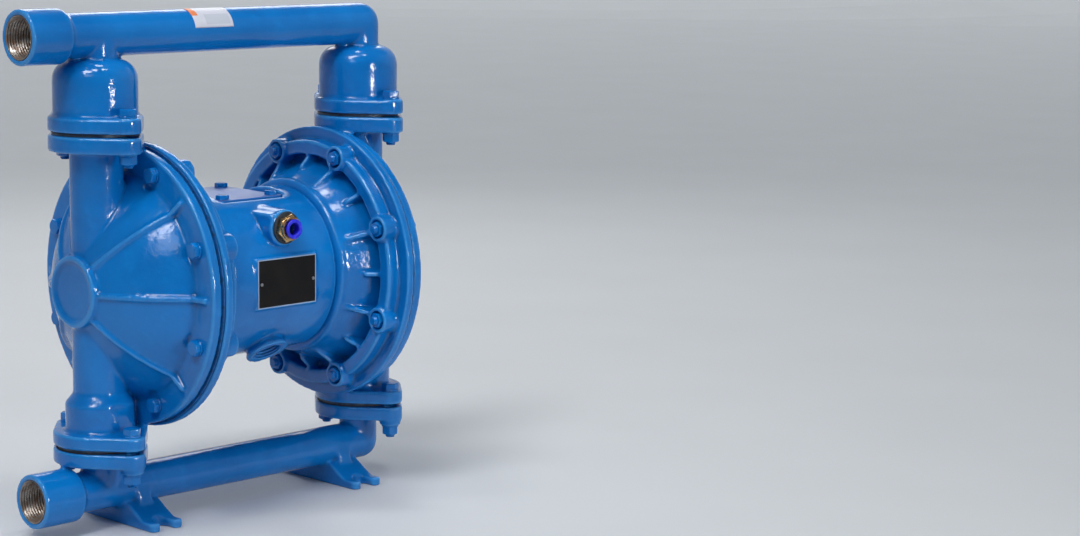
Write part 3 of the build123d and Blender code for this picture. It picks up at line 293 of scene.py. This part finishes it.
def metal(name, light, dark, rough, scale=900, stretch=(1, 1, 1)):
    """Bare metal with fine tool marks and a slow change of tone."""
    paint = Paint(name)
    place = paint.node("ShaderNodeVectorMath", {"operation": "MULTIPLY"},
                       [paint.place, stretch])
    marks = paint.noise(scale, 3, 0.6, place)
    tone = paint.noise(70, 3, 0.5)
    base = paint.mix(paint.ramp(tone, 0.3, 0.7), light, dark)
    return paint.set(Base_Color=base, Metallic=1.0, Normal=paint.bump(marks, 0.02 * MM, 0.7),
                     Roughness=paint.ramp(marks, 0.3, 0.7, rough * 0.8, rough * 1.3))


def bare_thread():
    """Raw cast iron of a tapped port, brown with a film of rust."""
    paint = Paint("bare_thread")
    rust = paint.noise(160, 5, 0.65)
    base = paint.mix(paint.ramp(rust, 0.4, 0.66), srgb(150, 144, 138), srgb(128, 98, 78))
    return paint.set(Base_Color=base, Metallic=paint.ramp(rust, 0.4, 0.66, 0.8, 0.25),
                     Roughness=paint.ramp(rust, 0.3, 0.7, 0.25, 0.5),
                     Normal=paint.bump(paint.noise(700, 2), 0.03 * MM, 0.5))


def moulded(name, light, dark, rough):
    """Moulded rubber or plastic with a fine skin."""
    paint = Paint(name)
    skin = paint.noise(700, 3, 0.5)
    tone = paint.noise(90, 3, 0.5)
    base = paint.mix(paint.ramp(tone, 0.35, 0.7), dark, light)
    return paint.set(Base_Color=base, Normal=paint.bump(skin, 0.05 * MM, 0.6),
                     Roughness=paint.ramp(tone, 0.3, 0.7, rough * 0.85, rough * 1.15))


def from_shaft(paint, axis):
    """Signed distance of a point from the shaft's middle along X, Y or Z."""
    return paint.split(paint.place, axis) - float(SHAFT["XYZ".index(axis)])


def sprayed_rubber(radius, faces):
    """Rubber rim with overspray: blue outside a radius, black along both clamped faces."""
    paint = Paint("sprayed_rubber")
    along = from_shaft(paint, "X").maths("ABSOLUTE")
    y, z = from_shaft(paint, "Y"), from_shaft(paint, "Z")
    out = (y * y + z * z) ** 0.5
    inside = paint.ramp(along, faces[0] + 0.3 * MM, faces[0] + 1.1 * MM)
    inside = inside * paint.ramp(along, faces[1] - 1.1 * MM, faces[1] - 0.3 * MM, 1.0, 0.0)
    patchy = paint.ramp(paint.noise(150, 4, 0.6), 0.3, 0.6, 0.35, 0.95)
    blue = inside * paint.ramp(out, radius - 1.5 * MM, radius - 0.5 * MM) * patchy
    base = paint.mix(blue, srgb(18, 20, 24), OVERSPRAY)
    return paint.set(Base_Color=base, Roughness=0.5,
                     Normal=paint.bump(paint.noise(700, 3), 0.05 * MM, 0.6))


def data_plate(half_x, half_z):
    """Satin black plate, blank, with a thin bare border."""
    paint = Paint("data_plate")
    across = from_shaft(paint, "X").maths("ABSOLUTE") - half_x
    height = from_shaft(paint, "Z").maths("ABSOLUTE") - half_z
    edge = paint.ramp(across.maths("MAXIMUM", height), -1.5 * MM, -1.2 * MM)
    haze = paint.noise(45, 4, 0.6)
    base = paint.mix(paint.ramp(haze, 0.35, 0.7), srgb(5, 5, 5), srgb(14, 10, 9))
    base = paint.mix(edge, base, srgb(150, 172, 200))
    return paint.set(Base_Color=base, Roughness=paint.ramp(haze, 0.3, 0.7, 0.32, 0.46),
                     Normal=paint.bump(paint.noise(900, 2), 0.02 * MM, 0.5),
                     Specular_IOR_Level=0.22)


def sticker_film():
    """Blank white film with an orange block at one end and a pale grey field."""
    paint = Paint("sticker_film")
    along = paint.attribute("along")
    round_ = paint.attribute("round")
    orange = paint.ramp(along, 0.155, 0.165, 1.0, 0.0) * paint.ramp(round_, 0.45, 0.46)
    grey = paint.ramp(along, 0.30, 0.31) * paint.ramp(round_, 0.5, 0.51, 1.0, 0.0)
    grey = grey * paint.ramp(round_, 0.10, 0.11) * paint.ramp(along, 0.93, 0.94, 1.0, 0.0)
    base = paint.mix(grey * 0.6, srgb(206, 208, 220), srgb(176, 184, 196))
    base = paint.mix(orange, base, srgb(224, 126, 74))
    return paint.set(Base_Color=base, Roughness=0.38,
                     Normal=paint.bump(paint.noise(120, 2), 0.05 * MM, 0.4))


ENAMEL = blue_enamel()
COVER_ENAMEL = pale_top_enamel(float(SHAFT[2]) + COVER_TOP)
STEEL = metal("turned_steel", srgb(176, 178, 182), srgb(150, 152, 158), 0.28, 700, (0.2, 1, 1))
# darker steel for the valve seats: painted shade of the joint gaps they show in
SHADED_STEEL = metal("shaded_steel", srgb(84, 92, 104), srgb(56, 70, 88), 0.45, 500)
ALUMINIUM = metal("ground_aluminium", srgb(200, 202, 206), srgb(178, 180, 186), 0.3)
BRASS = metal("turned_brass", srgb(214, 176, 122), srgb(184, 138, 88), 0.24, 800, (1, 0.2, 1))
THREAD = bare_thread()
RUBBER = moulded("black_rubber", srgb(34, 34, 36), srgb(20, 20, 22), 0.6)
GASKET = moulded("gasket_sheet", srgb(30, 32, 36), srgb(16, 18, 22), 0.7)
BUSH = moulded("bush_plastic", srgb(226, 218, 190), srgb(206, 196, 164), 0.45)
COLLAR = moulded("blue_collar", srgb(52, 56, 236), srgb(34, 38, 208), 0.25)
SEAL = moulded("dark_seal", srgb(24, 44, 60), srgb(14, 24, 34), 0.45)
PLATE = data_plate(50 * MM, 33 * MM)
RIM_RUBBER = sprayed_rubber(RIM_EDGE * MM, [face * MM for face in SHEET])
FILM = sticker_film()

SLOT_FINISH = {"enamel": ENAMEL, "zinc": STEEL, "steel": STEEL, "brass": BRASS,
               "aluminium": ALUMINIUM, "rubber": RUBBER, "gasket": GASKET, "bush": BUSH,
               "collar": COLLAR, "plate": PLATE}
# the valve seats take the darker steel, painted shade for the joint gaps
NODE_FINISH = {"valve_cover": COVER_ENAMEL, "valve_cover_gasket": SEAL,
               "body_gasket_left": ENAMEL, "body_gasket_right": ENAMEL,
               "suction_seat_left": SHADED_STEEL, "suction_seat_right": SHADED_STEEL,
               "discharge_seat_left": SHADED_STEEL, "discharge_seat_right": SHADED_STEEL}


# ---- meshes --------------------------------------------------------------------------------------
def mesh_of(name, points, faces, finish, body="pump"):
    """Mesh object from an array of points and arrays of faces, each with equal numbers of corners.
    """
    groups = [np.asarray(group) for group in (faces if isinstance(faces, list) else [faces])]
    corners = np.concatenate([group.ravel() for group in groups])
    sizes = np.concatenate([np.full(len(group), group.shape[1]) for group in groups])
    mesh = bpy.data.meshes.new(name)
    mesh.vertices.add(len(points))
    mesh.vertices.foreach_set("co", np.asarray(points, np.float32).ravel())
    mesh.loops.add(len(corners))
    mesh.loops.foreach_set("vertex_index", corners.astype(np.int32))
    mesh.polygons.add(len(sizes))
    mesh.polygons.foreach_set("loop_start", (np.cumsum(sizes) - sizes).astype(np.int32))
    mesh.update(calc_edges=True)
    mesh.validate()
    mesh.polygons.foreach_set("use_smooth", np.full(len(mesh.polygons), True))
    mesh.materials.append(finish)
    piece = bpy.data.objects.new(name, mesh)
    bpy.context.scene.collection.objects.link(piece)
    if body:
        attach(piece, body)
    return piece


def point_values(piece, name, values):
    """Stores one number per point, for a finish to read."""
    layer = piece.data.attributes.new(name, "FLOAT", "POINT")
    layer.data.foreach_set("value", values.ravel().astype(np.float32))


def mesh_arrays(mesh):
    """Points and polygon corners of a mesh whose faces are all quads."""
    points = np.empty(len(mesh.vertices) * 3, np.float32)
    mesh.vertices.foreach_get("co", points)
    corners = np.empty(len(mesh.loops), np.int32)
    mesh.loops.foreach_get("vertex_index", corners)
    return points.reshape(-1, 3).astype(float), corners.reshape(-1, 4)


def neighbour_mean(points, ends, count):
    """Mean of each point's neighbours along the edges."""
    total = np.empty_like(points)
    for axis in range(3):
        values = points[:, axis]
        total[:, axis] = (np.bincount(ends[:, 0], values[ends[:, 1]], len(points))
                          + np.bincount(ends[:, 1], values[ends[:, 0]], len(points)))
    return total / count[:, None]


def outward(points, quads):
    """Unit normal at each point: the sum of its quads' crossed diagonals."""
    cross = np.cross(points[quads[:, 2]] - points[quads[:, 0]],
                     points[quads[:, 3]] - points[quads[:, 1]])
    normal = np.zeros_like(points)
    for axis in range(3):
        for corner in range(4):
            normal[:, axis] += np.bincount(quads[:, corner], cross[:, axis], len(points))
    return normal / np.maximum(np.linalg.norm(normal, axis=1), 1e-12)[:, None]


def cast_skin(node, fillet):
    """Skin of a casting: the CAD node remeshed on an even grid, then relaxed.

    Each point moves towards the mean of its neighbours. Inside corners are filled until they curve
    more gently than the fillet radius. Outside edges get only a few passes, so they stay tight.
    """
    source = nodes[node].copy()
    source.data = nodes[node].data.copy()
    source.parent = None
    bpy.context.scene.collection.objects.link(source)
    weld = source.modifiers.new("weld", "WELD")
    weld.merge_threshold = 0.01 * MM
    remesh = source.modifiers.new("grid", "REMESH")
    remesh.mode = "VOXEL"
    remesh.voxel_size = SKIN_GRID
    evaluated = source.evaluated_get(bpy.context.evaluated_depsgraph_get())
    even = bpy.data.meshes.new_from_object(evaluated)
    points, quads = mesh_arrays(even)
    bpy.data.objects.remove(source)
    ends = np.concatenate([quads[:, (k, (k + 1) % 4)] for k in range(4)])
    ends = np.unique(np.sort(ends, axis=1), axis=0)
    count = np.bincount(ends.ravel(), minlength=len(points))
    for _ in range(EDGE_PASSES):
        points += 0.5 * (neighbour_mean(points, ends, count) - points)
    gentle = SKIN_GRID ** 2 / (4 * fillet)
    for _ in range(int(2 * (fillet / SKIN_GRID) ** 2)):
        step = neighbour_mean(points, ends, count) - points
        rise = np.einsum("ij,ij->i", step, outward(points, quads))
        fill = np.clip((rise - gentle) / gentle, 0, 1)
        points += 0.5 * fill[:, None] * step
    for _ in range(2):
        points += 0.5 * (neighbour_mean(points, ends, count) - points)
    step = neighbour_mean(points, ends, count) - points
    bend = np.einsum("ij,ij->i", step, outward(points, quads)) / SKIN_GRID
    for _ in range(3):
        mean = neighbour_mean(bend[:, None] * np.ones(3), ends, count)[:, 0]
        bend = (bend + mean) / 2
    skin = mesh_of("skin_" + node, points, quads, ENAMEL, nodes[node]["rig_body"])
    # outward bend gives the edge value for paler thin paint; inward bend gives the painted corner shade
    for name, values in (("edge", -bend), ("corner_shade", bend)):
        point_values(skin, name, np.clip(values * EDGE_GAIN, 0, 1))
    bpy.data.meshes.remove(even)
    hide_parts(node)
    return skin


def grid_faces(rows, columns, closed_rows=False, closed_columns=True):
    """Quads of a grid of points, wrapped round where a direction is closed."""
    row = np.arange(rows if closed_rows else rows - 1)
    column = np.arange(columns if closed_columns else columns - 1)
    i, j = np.meshgrid(row, column, indexing="ij")
    i2, j2 = (i + 1) % rows, (j + 1) % columns
    return np.stack([i * columns + j, i * columns + j2, i2 * columns + j2, i2 * columns + j],
                    -1).reshape(-1, 4)


# ---- turned and hexagonal pieces -----------------------------------------------------------------
def spun(heights, radii, place, axis):
    """Rings of points round an axis: place + height * axis + radius * (cos t * side + sin t * up).

    heights and radii have one row per ring and one column per step of t round the circle.
    """
    axis = np.asarray(axis, float)
    side = np.cross(axis, (0, 0, 1) if abs(axis[2]) < 0.9 else (1, 0, 0))
    side /= np.linalg.norm(side)
    heights, radii = np.broadcast_arrays(heights, radii)
    t = np.linspace(0, 2 * math.pi, radii.shape[1], endpoint=False)
    ring = np.cos(t)[:, None] * side + np.sin(t)[:, None] * np.cross(axis, side)
    points = np.asarray(place) + heights[..., None] * axis + radii[..., None] * ring
    return points.reshape(-1, 3)


def solid_faces(rows, columns):
    """Quads of a stack of rings with a many-sided face at each end."""
    low = np.arange(columns)[::-1]
    high = np.arange(columns) + (rows - 1) * columns
    return [grid_faces(rows, columns), np.stack([low, high])]


def column_of(*profile, columns=48):
    """Heights and radii of a turned profile given as (height, radius), one column per step round."""
    heights, radii = np.array(profile, float).T
    ones = np.ones(columns)
    return heights[:, None] * ones, radii[:, None] * ones


def hexagon(flats, height, turn=0.0, columns=48):
    """Chamfered hexagon: radius flats / 2 / cos t, with t folded to 30 degrees each way.

    The chamfer is a cone of 30 degrees that starts inside the flats, so it cuts each corner round.
    """
    t = np.linspace(0, 2 * math.pi, columns, endpoint=False) + turn
    sixth = math.pi / 3
    wide = flats / 2 / np.cos((t + sixth / 2) % sixth - sixth / 2)
    flat = 0.47 * flats
    drop = (wide - flat) * math.tan(math.pi / 6)
    soft = 0.05 * flats
    heights = np.stack([drop * 0 + 0.3 * MM, height - drop - soft, height - drop * 0.8 - soft * 0.3,
                        drop * 0 + height - 0.1 * MM, drop * 0 + height])
    radii = np.stack([wide, wide, wide - 0.15 * soft, drop * 0 + flat, drop * 0 + flat - soft])
    return heights, radii


def threaded(radius, pitch, depth, start, end, columns=36, steps=6):
    """Screw thread: radius less depth times a triangle wave of height / pitch less turns round."""
    heights = np.linspace(start, end, max(int((end - start) / pitch * steps), 3))[:, None]
    turns = np.arange(columns) / columns
    wave = np.abs(((heights / pitch - turns) % 1) * 2 - 1)
    ease = np.clip((end - heights) / pitch, 0.25, 1)
    return heights * np.ones(columns), radius - depth * wave - (1 - ease) * depth


def assemble(name, pieces, finish, replaced, body="pump", crease=35):
    """One mesh object from (points, faces) pieces, standing for CAD nodes."""
    points, faces, total = [], [], 0
    for piece_points, piece_faces in pieces:
        points.append(piece_points)
        faces += [group + total for group in piece_faces]
        total += len(piece_points)
    made = mesh_of(name, np.concatenate(points), faces, finish, body)
    made.data.set_sharp_from_angle(angle=math.radians(crease))
    if replaced:
        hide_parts(*replaced)
    return made


def solid(profile, place, axis):
    """A turned or hexagonal solid at a place, as points and faces."""
    heights, radii = profile
    return spun(heights, radii, place, axis), solid_faces(*radii.shape)


def loop_ring(place, axis, *profile, columns=48):
    """A closed ring of the given (height, radius) section, as points and faces."""
    heights, radii = column_of(*profile, columns=columns)
    return spun(heights, radii, place, axis), [grid_faces(len(profile), columns, closed_rows=True)]


def washer_at(place, axis, inner, outer, height):
    soft = 0.5 * MM
    return loop_ring(place, axis, (0, inner), (0, outer), (height - soft, outer),
                     (height, outer - soft), (height, inner))


# ---- CAD nodes keep their shape and get their finish ---------------------------------------------
for entry in frame["record"]["subparts"]:
    shown = nodes[entry["node"]]
    finish = NODE_FINISH.get(entry["node"], SLOT_FINISH[entry["material_slot"]])
    shown.data.materials.clear()
    shown.data.materials.append(finish)

for name, width in (("valve_cover", 1.2 * MM), ("valve_cover_gasket", 0.2 * MM),
                    ("nameplate", 0.3 * MM)):
    round_off = nodes[name].modifiers.new("edges", "BEVEL")
    round_off.width = width
    round_off.segments = 3
    round_off.limit_method = "ANGLE"
    round_off.angle_limit = math.radians(40)

CASTINGS = {"discharge_manifold": FILLET, "suction_manifold": FILLET, "centre_body": FILLET}
for side, _ in SIDES:
    CASTINGS["fluid_chamber_" + side] = BOWL_FILLET
    CASTINGS["air_chamber_" + side] = LIP_FILLET
for casting, fillet in CASTINGS.items():
    cast_skin(casting, fillet)


# ---- fasteners, painted with the castings --------------------------------------------------------
random_turns = np.random.default_rng(TURN_SEED)


def bolt_set(places, axis, sizes, seat, nut_seat, under_nut):
    """Bolts of one joint: heads and washers at seat, nuts and stubs at nut_seat along the axis.

    sizes are radius, across flats, head, nut and stub. nut_seat is None for tapped holes, and
    under_nut says whether the nuts have washers too.
    """
    radius, flats, head, nut, stub = sizes
    axis = np.array(axis, float)
    heads, nuts, washers = [], [], []
    outer = flats / 2 + WASHER_MARGIN
    for place in places:
        turn = random_turns.uniform(0, math.pi / 3)
        heads.append(solid(hexagon(flats, head, turn), place + seat * axis, axis))
        if nut_seat is None:
            continue
        turn = random_turns.uniform(0, math.pi / 3)
        nuts.append(solid(hexagon(flats, nut, turn), place + nut_seat * axis, -axis))
        heads.append(solid(threaded(radius, THREAD_PITCH, THREAD_CUT, nut - 1 * MM, nut + stub),
                           place + nut_seat * axis, -axis))
        washers.append(washer_at(place + (seat - WASHER) * axis, axis, radius, outer, WASHER))
        if under_nut:
            washers.append(washer_at(place + (nut_seat + WASHER) * axis, -axis, radius, outer,
                                     WASHER))
    return heads, nuts, washers


def fasteners():
    """All bolts, nuts and washers at the flanges, the chamber rims and the valve cover."""
    ring = RIM_START + np.arange(RIM_BOLTS) * 2 * math.pi / RIM_BOLTS
    rim = SHAFT + RIM_CIRCLE * np.stack([0 * ring, np.cos(ring), np.sin(ring)], -1)
    for side, sign in SIDES:
        made = bolt_set(rim, (sign, 0, 0), RIM_BOLT, RIM_SEAT, RIM_NUT_SEAT, False)
        for kind, pieces in zip(("bolts", "nuts", "washers"), made):
            assemble(f"painted_rim_{kind}_{side}", pieces, ENAMEL, [f"rim_{kind}_{side}"])
    corners = np.array([(x, y, 0) for x in (-RISER_X, RISER_X)
                        for y in (-FLANGE_BOLT_Y, FLANGE_BOLT_Y)])
    for name, seats in (("discharge", UPPER_SEATS), ("suction", LOWER_SEATS)):
        made = bolt_set(SHAFT + corners, (0, 0, 1), FLANGE_BOLT, *seats, True)
        for kind, pieces in zip(("bolts", "nuts", "washers"), made):
            assemble(f"painted_{name}_{kind}", pieces, ENAMEL, [f"{name}_flange_{kind}"])
    cover = np.array([(x, y, 0) for x in (-COVER_BOLT_X, COVER_BOLT_X) for y in COVER_BOLT_Y])
    heads, _, _ = bolt_set(SHAFT + cover, (0, 0, 1), COVER_BOLT, COVER_TOP, None, False)
    assemble("painted_cover_bolts", heads, ENAMEL, ["valve_cover_bolts"])


fasteners()


# ---- bare threads of the ports -------------------------------------------------------------------
def port_thread(name, mouth, inward, radius, depth, pitch, finish=THREAD):
    """Thread inside a port: a screw surface that faces its axis, closed at the back of the wall."""
    cut = 0.45 * pitch
    heights, radii = threaded(radius, pitch, cut, 1 * MM, depth, columns=96, steps=8)
    wall = radius + 0.3 * MM
    heights = np.concatenate([heights[:1], heights, heights[-1:]])
    radii = np.concatenate([radii[:1] * 0 + wall, radii, radii[-1:] * 0 + wall])
    points = spun(heights, radii, mouth, inward)
    faces = [grid_faces(*radii.shape, closed_rows=True)[:, ::-1]]
    assemble(name, [(points, faces)], finish, None, crease=60)


out_of_body = np.array((0, -math.cos(EXHAUST_SLANT), -math.sin(EXHAUST_SLANT)))
port_thread("discharge_port_thread", SHAFT + (UPPER_MOUTH, 0, UPPER_PIPE), (1, 0, 0), *PORT_THREAD)
port_thread("suction_port_thread", SHAFT + (LOWER_MOUTH, 0, LOWER_PIPE), (1, 0, 0), *PORT_THREAD)
port_thread("exhaust_port_thread", SHAFT + EXHAUST_FACE * out_of_body, -out_of_body,
            *EXHAUST_THREAD, ENAMEL)


# ---- air inlet fitting ---------------------------------------------------------------------------
def inlet_fitting():
    """Push-in fitting: seal, chamfered brass hexagon, grooved neck; the release collar in its mouth."""
    axis = np.array((0, -1.0, 0))
    face = SHAFT + INLET_FACE
    seal = np.array([(0.1, 13), (0.1, 21.5), (1.0, 22.2), (2.4, 21.6), (2.6, 20), (2.6, 13)])
    assemble("inlet_seal", [loop_ring(face, axis, *seal * MM)], SEAL, None)
    heights, radii = hexagon(34 * MM, 7.4 * MM, 0.25, columns=96)
    neck = np.array([(9.3, 16.0), (9.9, 15.6), (10.4, 15.4), (10.9, 16.0), (14.0, 16.0),
                     (14.5, 15.5), (14.5, 12.6), (13.7, 11.8), (6.0, 11.5)])
    up, out = column_of(*neck * MM, columns=96)
    back = heights[:1] + INLET_SEAL
    heights = np.concatenate([heights + INLET_SEAL, up, back])
    radii = np.concatenate([radii, out, out[-1:]])
    points = spun(heights, radii, face, axis)
    faces = [grid_faces(*radii.shape, closed_rows=True)]
    assemble("brass_fitting", [(points, faces)], BRASS, ["air_inlet_fitting"],
             crease=30)
    collar = np.array([(16.3, 11.0), (16.3, 12.6), (16.8, 13.2), (18.6, 13.3), (19.2, 12.8),
                       (19.3, 11.4), (19.0, 9.2), (18.2, 8.5), (8.0, 8.3), (8.0, 11.0)])
    assemble("release_collar", [loop_ring(face, axis, *collar * MM, columns=96)], COLLAR,
             ["tube_release_ring"], body="release_ring")


inlet_fitting()


# ---- diaphragms: clamped rim, sectors of the roll, centre between the plates ---------------------
def sector(name, section, sign, start, end, steps, finish, body, whole=False):
    """A closed section of (place along X, radius) carried round the shaft from one angle to another.

    A point is (sign * x, radius * cos a, radius * sin a) from the shaft's middle.
    """
    x, radius = np.array(section).T
    a = np.linspace(start, end, steps, endpoint=not whole)
    points = np.stack([sign * x[None] * np.ones((steps, 1)), radius * np.cos(a)[:, None],
                       radius * np.sin(a)[:, None]], -1) + SHAFT
    count = len(section)
    quads = grid_faces(steps, count, closed_rows=whole)
    faces = [quads]
    if not whole:
        faces.append(np.stack([np.arange(count)[::-1], np.arange(count) + (steps - 1) * count]))
    if sign > 0:
        faces = [group[:, ::-1] for group in faces]
    piece = mesh_of(name, points.reshape(-1, 3), faces, finish, body)
    piece.data.set_sharp_from_angle(angle=math.radians(35))
    return piece


def diaphragm(side, sign):
    """Rubber sheet with a rolled arc between the plates and the clamped rim.

    The arc is a circle through both edges of the roll and its deepest point. The rim has a bead
    between the flanges and stays with the pump, the centre goes with the shaft, and the sectors of
    the roll are pieces of their own on no body.
    """
    node = "diaphragm_" + side
    air, fluid = SHEET
    roll_in, roll_out = ROLL
    half = (roll_out - roll_in) / 2
    bend = (half ** 2 + ROLL_DEPTH ** 2) / (2 * ROLL_DEPTH)
    r = np.linspace(roll_in, roll_out, 17)
    dip = np.sqrt(bend ** 2 - (r - roll_in - half) ** 2) - (bend - ROLL_DEPTH)
    low = np.stack([air - dip, r], -1)
    high = np.stack([fluid - dip, r], -1)[::-1]
    foot = RIM_EDGE + 0.2
    low_bead, high_bead = air + 1.2, fluid - 1.2
    sections = {"rim": [(air, roll_out), (air, RIM_EDGE), (low_bead, foot), (low_bead, BEAD_EDGE),
                        (high_bead, BEAD_EDGE), (high_bead, foot), (fluid, RIM_EDGE),
                        (fluid, roll_out)],
                "centre": [(air, HUB_HOLE), (air, roll_in), (fluid, roll_in), (fluid, HUB_HOLE)]}
    full = 2 * math.pi
    for part, body, finish in (("rim", "pump", RIM_RUBBER), ("centre", "shaft_set", RUBBER)):
        ring = sector(f"{node}_{part}", np.array(sections[part]) * MM, sign, 0, full, 96, finish,
                      body, whole=True)
        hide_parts(node)
    section = np.concatenate([low, high]) * MM
    for k in range(ROLL_SECTORS):
        start, end = full * k / ROLL_SECTORS, full * (k + 1) / ROLL_SECTORS
        piece = sector(f"{node}_roll_{k:02d}", section, sign, start, end, 7, RUBBER, None)
        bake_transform(piece)
        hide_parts(node)


for side, sign in SIDES:
    diaphragm(side, sign)


# ---- blank sticker on the discharge pipe ---------------------------------------------------------
def sticker():
    """Patch bent round the pipe: x along it, angle a from the front, radius of the pipe and film."""
    rows, columns = 25, 33
    along, round_ = np.linspace(0, 1, columns), np.linspace(0, 1, rows)
    a, x = np.meshgrid(np.radians(np.linspace(*STICKER_TURN, rows)),
                       np.linspace(*STICKER_X, columns) * MM, indexing="ij")
    points = np.stack([x, -STICKER_RADIUS * np.cos(a), UPPER_PIPE + STICKER_RADIUS * np.sin(a)],
                      -1) + SHAFT
    quads = grid_faces(rows, columns, closed_columns=False)
    film = mesh_of("blank_sticker", points.reshape(-1, 3), quads, FILM)
    point_values(film, "along", np.tile(along, rows))
    point_values(film, "round", np.repeat(round_, columns))
    thick = film.modifiers.new("film", "SOLIDIFY")
    thick.thickness = 0.15 * MM
    thick.offset = 1


sticker()


# ---- setting -------------------------------------------------------------------------------------
def floor():
    """Plain pale floor: flat, and far out its height is 0.2 * (distance - FLOOR_FLAT) squared."""
    steps = 81
    x, y = np.meshgrid(*[np.linspace(-FLOOR_REACH, FLOOR_REACH, steps)] * 2, indexing="ij")
    rise = np.maximum(np.hypot(x, y) - FLOOR_FLAT, 0) ** 2 * 0.2
    points = np.stack([x, y, rise - 0.2 * MM], -1).reshape(-1, 3)
    paint = Paint("pale_floor")
    tone = paint.noise(3, 2, 0.5)
    paint.set(Base_Color=paint.mix(tone, srgb(208, 211, 214), srgb(214, 217, 220)),
              Roughness=0.75)
    mesh = bpy.data.meshes.new("floor")
    faces = grid_faces(steps, steps, closed_columns=False)[:, ::-1]
    mesh.from_pydata(points.tolist(), [], faces.tolist())
    mesh.materials.append(paint.material)
    sheet = bpy.data.objects.new("floor", mesh)
    bpy.context.scene.collection.objects.link(sheet)


def soft_light(name, place, size, power, beam=180):
    """Rectangle of light aimed at the shaft's middle; beam is its spread in degrees."""
    light = bpy.data.lights.new(name, "AREA")
    light.shape = "RECTANGLE"
    light.size, light.size_y = size
    light.energy = power
    light.spread = math.radians(beam)
    holder = bpy.data.objects.new(name, light)
    bpy.context.scene.collection.objects.link(holder)
    back = np.array(place, float) - SHAFT
    holder.matrix_world = facing(back / np.linalg.norm(back), 0.0, place)


def sun_lamp(direction, strength, spread):
    """Even soft light from far away; spread is the width of its disc in degrees."""
    light = bpy.data.lights.new("daylight", "SUN")
    light.energy = strength
    light.angle = math.radians(spread)
    holder = bpy.data.objects.new("daylight", light)
    bpy.context.scene.collection.objects.link(holder)
    back = np.array(direction, float)
    holder.matrix_world = facing(back / np.linalg.norm(back), 0.0, (0, 0, 3))


def facing(back, roll, place):
    """Matrix of an object at a place whose +Z points along back, turned by roll about it."""
    right = np.cross((0, 0, 1), back)
    right /= np.linalg.norm(right)
    up = np.cross(back, right)
    turned = np.column_stack([math.cos(roll) * right + math.sin(roll) * up,
                              -math.sin(roll) * right + math.cos(roll) * up, back])
    matrix = np.eye(4)
    matrix[:3, :3] = turned
    matrix[:3, 3] = place
    return Matrix(matrix.tolist())


def camera():
    """Camera on the fitted direction, placed so that the shaft's middle falls at its pixel."""
    back = np.array((math.sin(VIEW_TURN) * math.cos(VIEW_RISE),
                     -math.cos(VIEW_TURN) * math.cos(VIEW_RISE), math.sin(VIEW_RISE)))
    matrix = np.array(facing(back, VIEW_ROLL, (0, 0, 0)))
    focal = VIEW_LENS / SENSOR * FRAME_SIZE[0]
    off = (np.array(PUMP_AT) - np.array(FRAME_SIZE) / 2) * VIEW_DISTANCE / focal
    place = SHAFT + VIEW_DISTANCE * back - off[0] * matrix[:3, 0] + off[1] * matrix[:3, 1]
    data = bpy.data.cameras.new("camera")
    data.sensor_width = SENSOR
    data.lens = VIEW_LENS
    data.clip_end = 200
    holder = bpy.data.objects.new("camera", data)
    bpy.context.scene.collection.objects.link(holder)
    holder.matrix_world = facing(back, VIEW_ROLL, place)
    bpy.context.scene.camera = holder


def daylight():
    """Weak even light from all round."""
    world = bpy.data.worlds.new("studio")
    bpy.context.scene.world = world
    world.use_nodes = True
    world.node_tree.nodes["Background"].inputs["Color"].default_value = (0.72, 0.84, 1.0, 1)
    world.node_tree.nodes["Background"].inputs["Strength"].default_value = 0.14


floor()
daylight()
sun_lamp((-0.70, -0.38, 0.95), 1.85, 24)
soft_light("key", (-2.6, -1.6, 2.4), (1.2, 0.9), 9)
soft_light("back_rim", (1.8, 2.2, 2.0), (1.6, 1.0), 14)
for k, (x, y) in enumerate(((-0.9, -0.9), (0.15, -1.1), (-0.9, 0.3), (0.3, 0.2))):
    soft_light(f"ceiling_{k}", (x, y, 3.2), (0.5, 0.4), 10)
for k, (height, power) in enumerate(((1.00, 0.8), (0.50, 1.5))):
    soft_light(f"window_{k}", (0.35, -3.1, height), (0.46, 0.2), power, beam=50)
camera()
bpy.context.scene.view_settings.view_transform = "Standard"
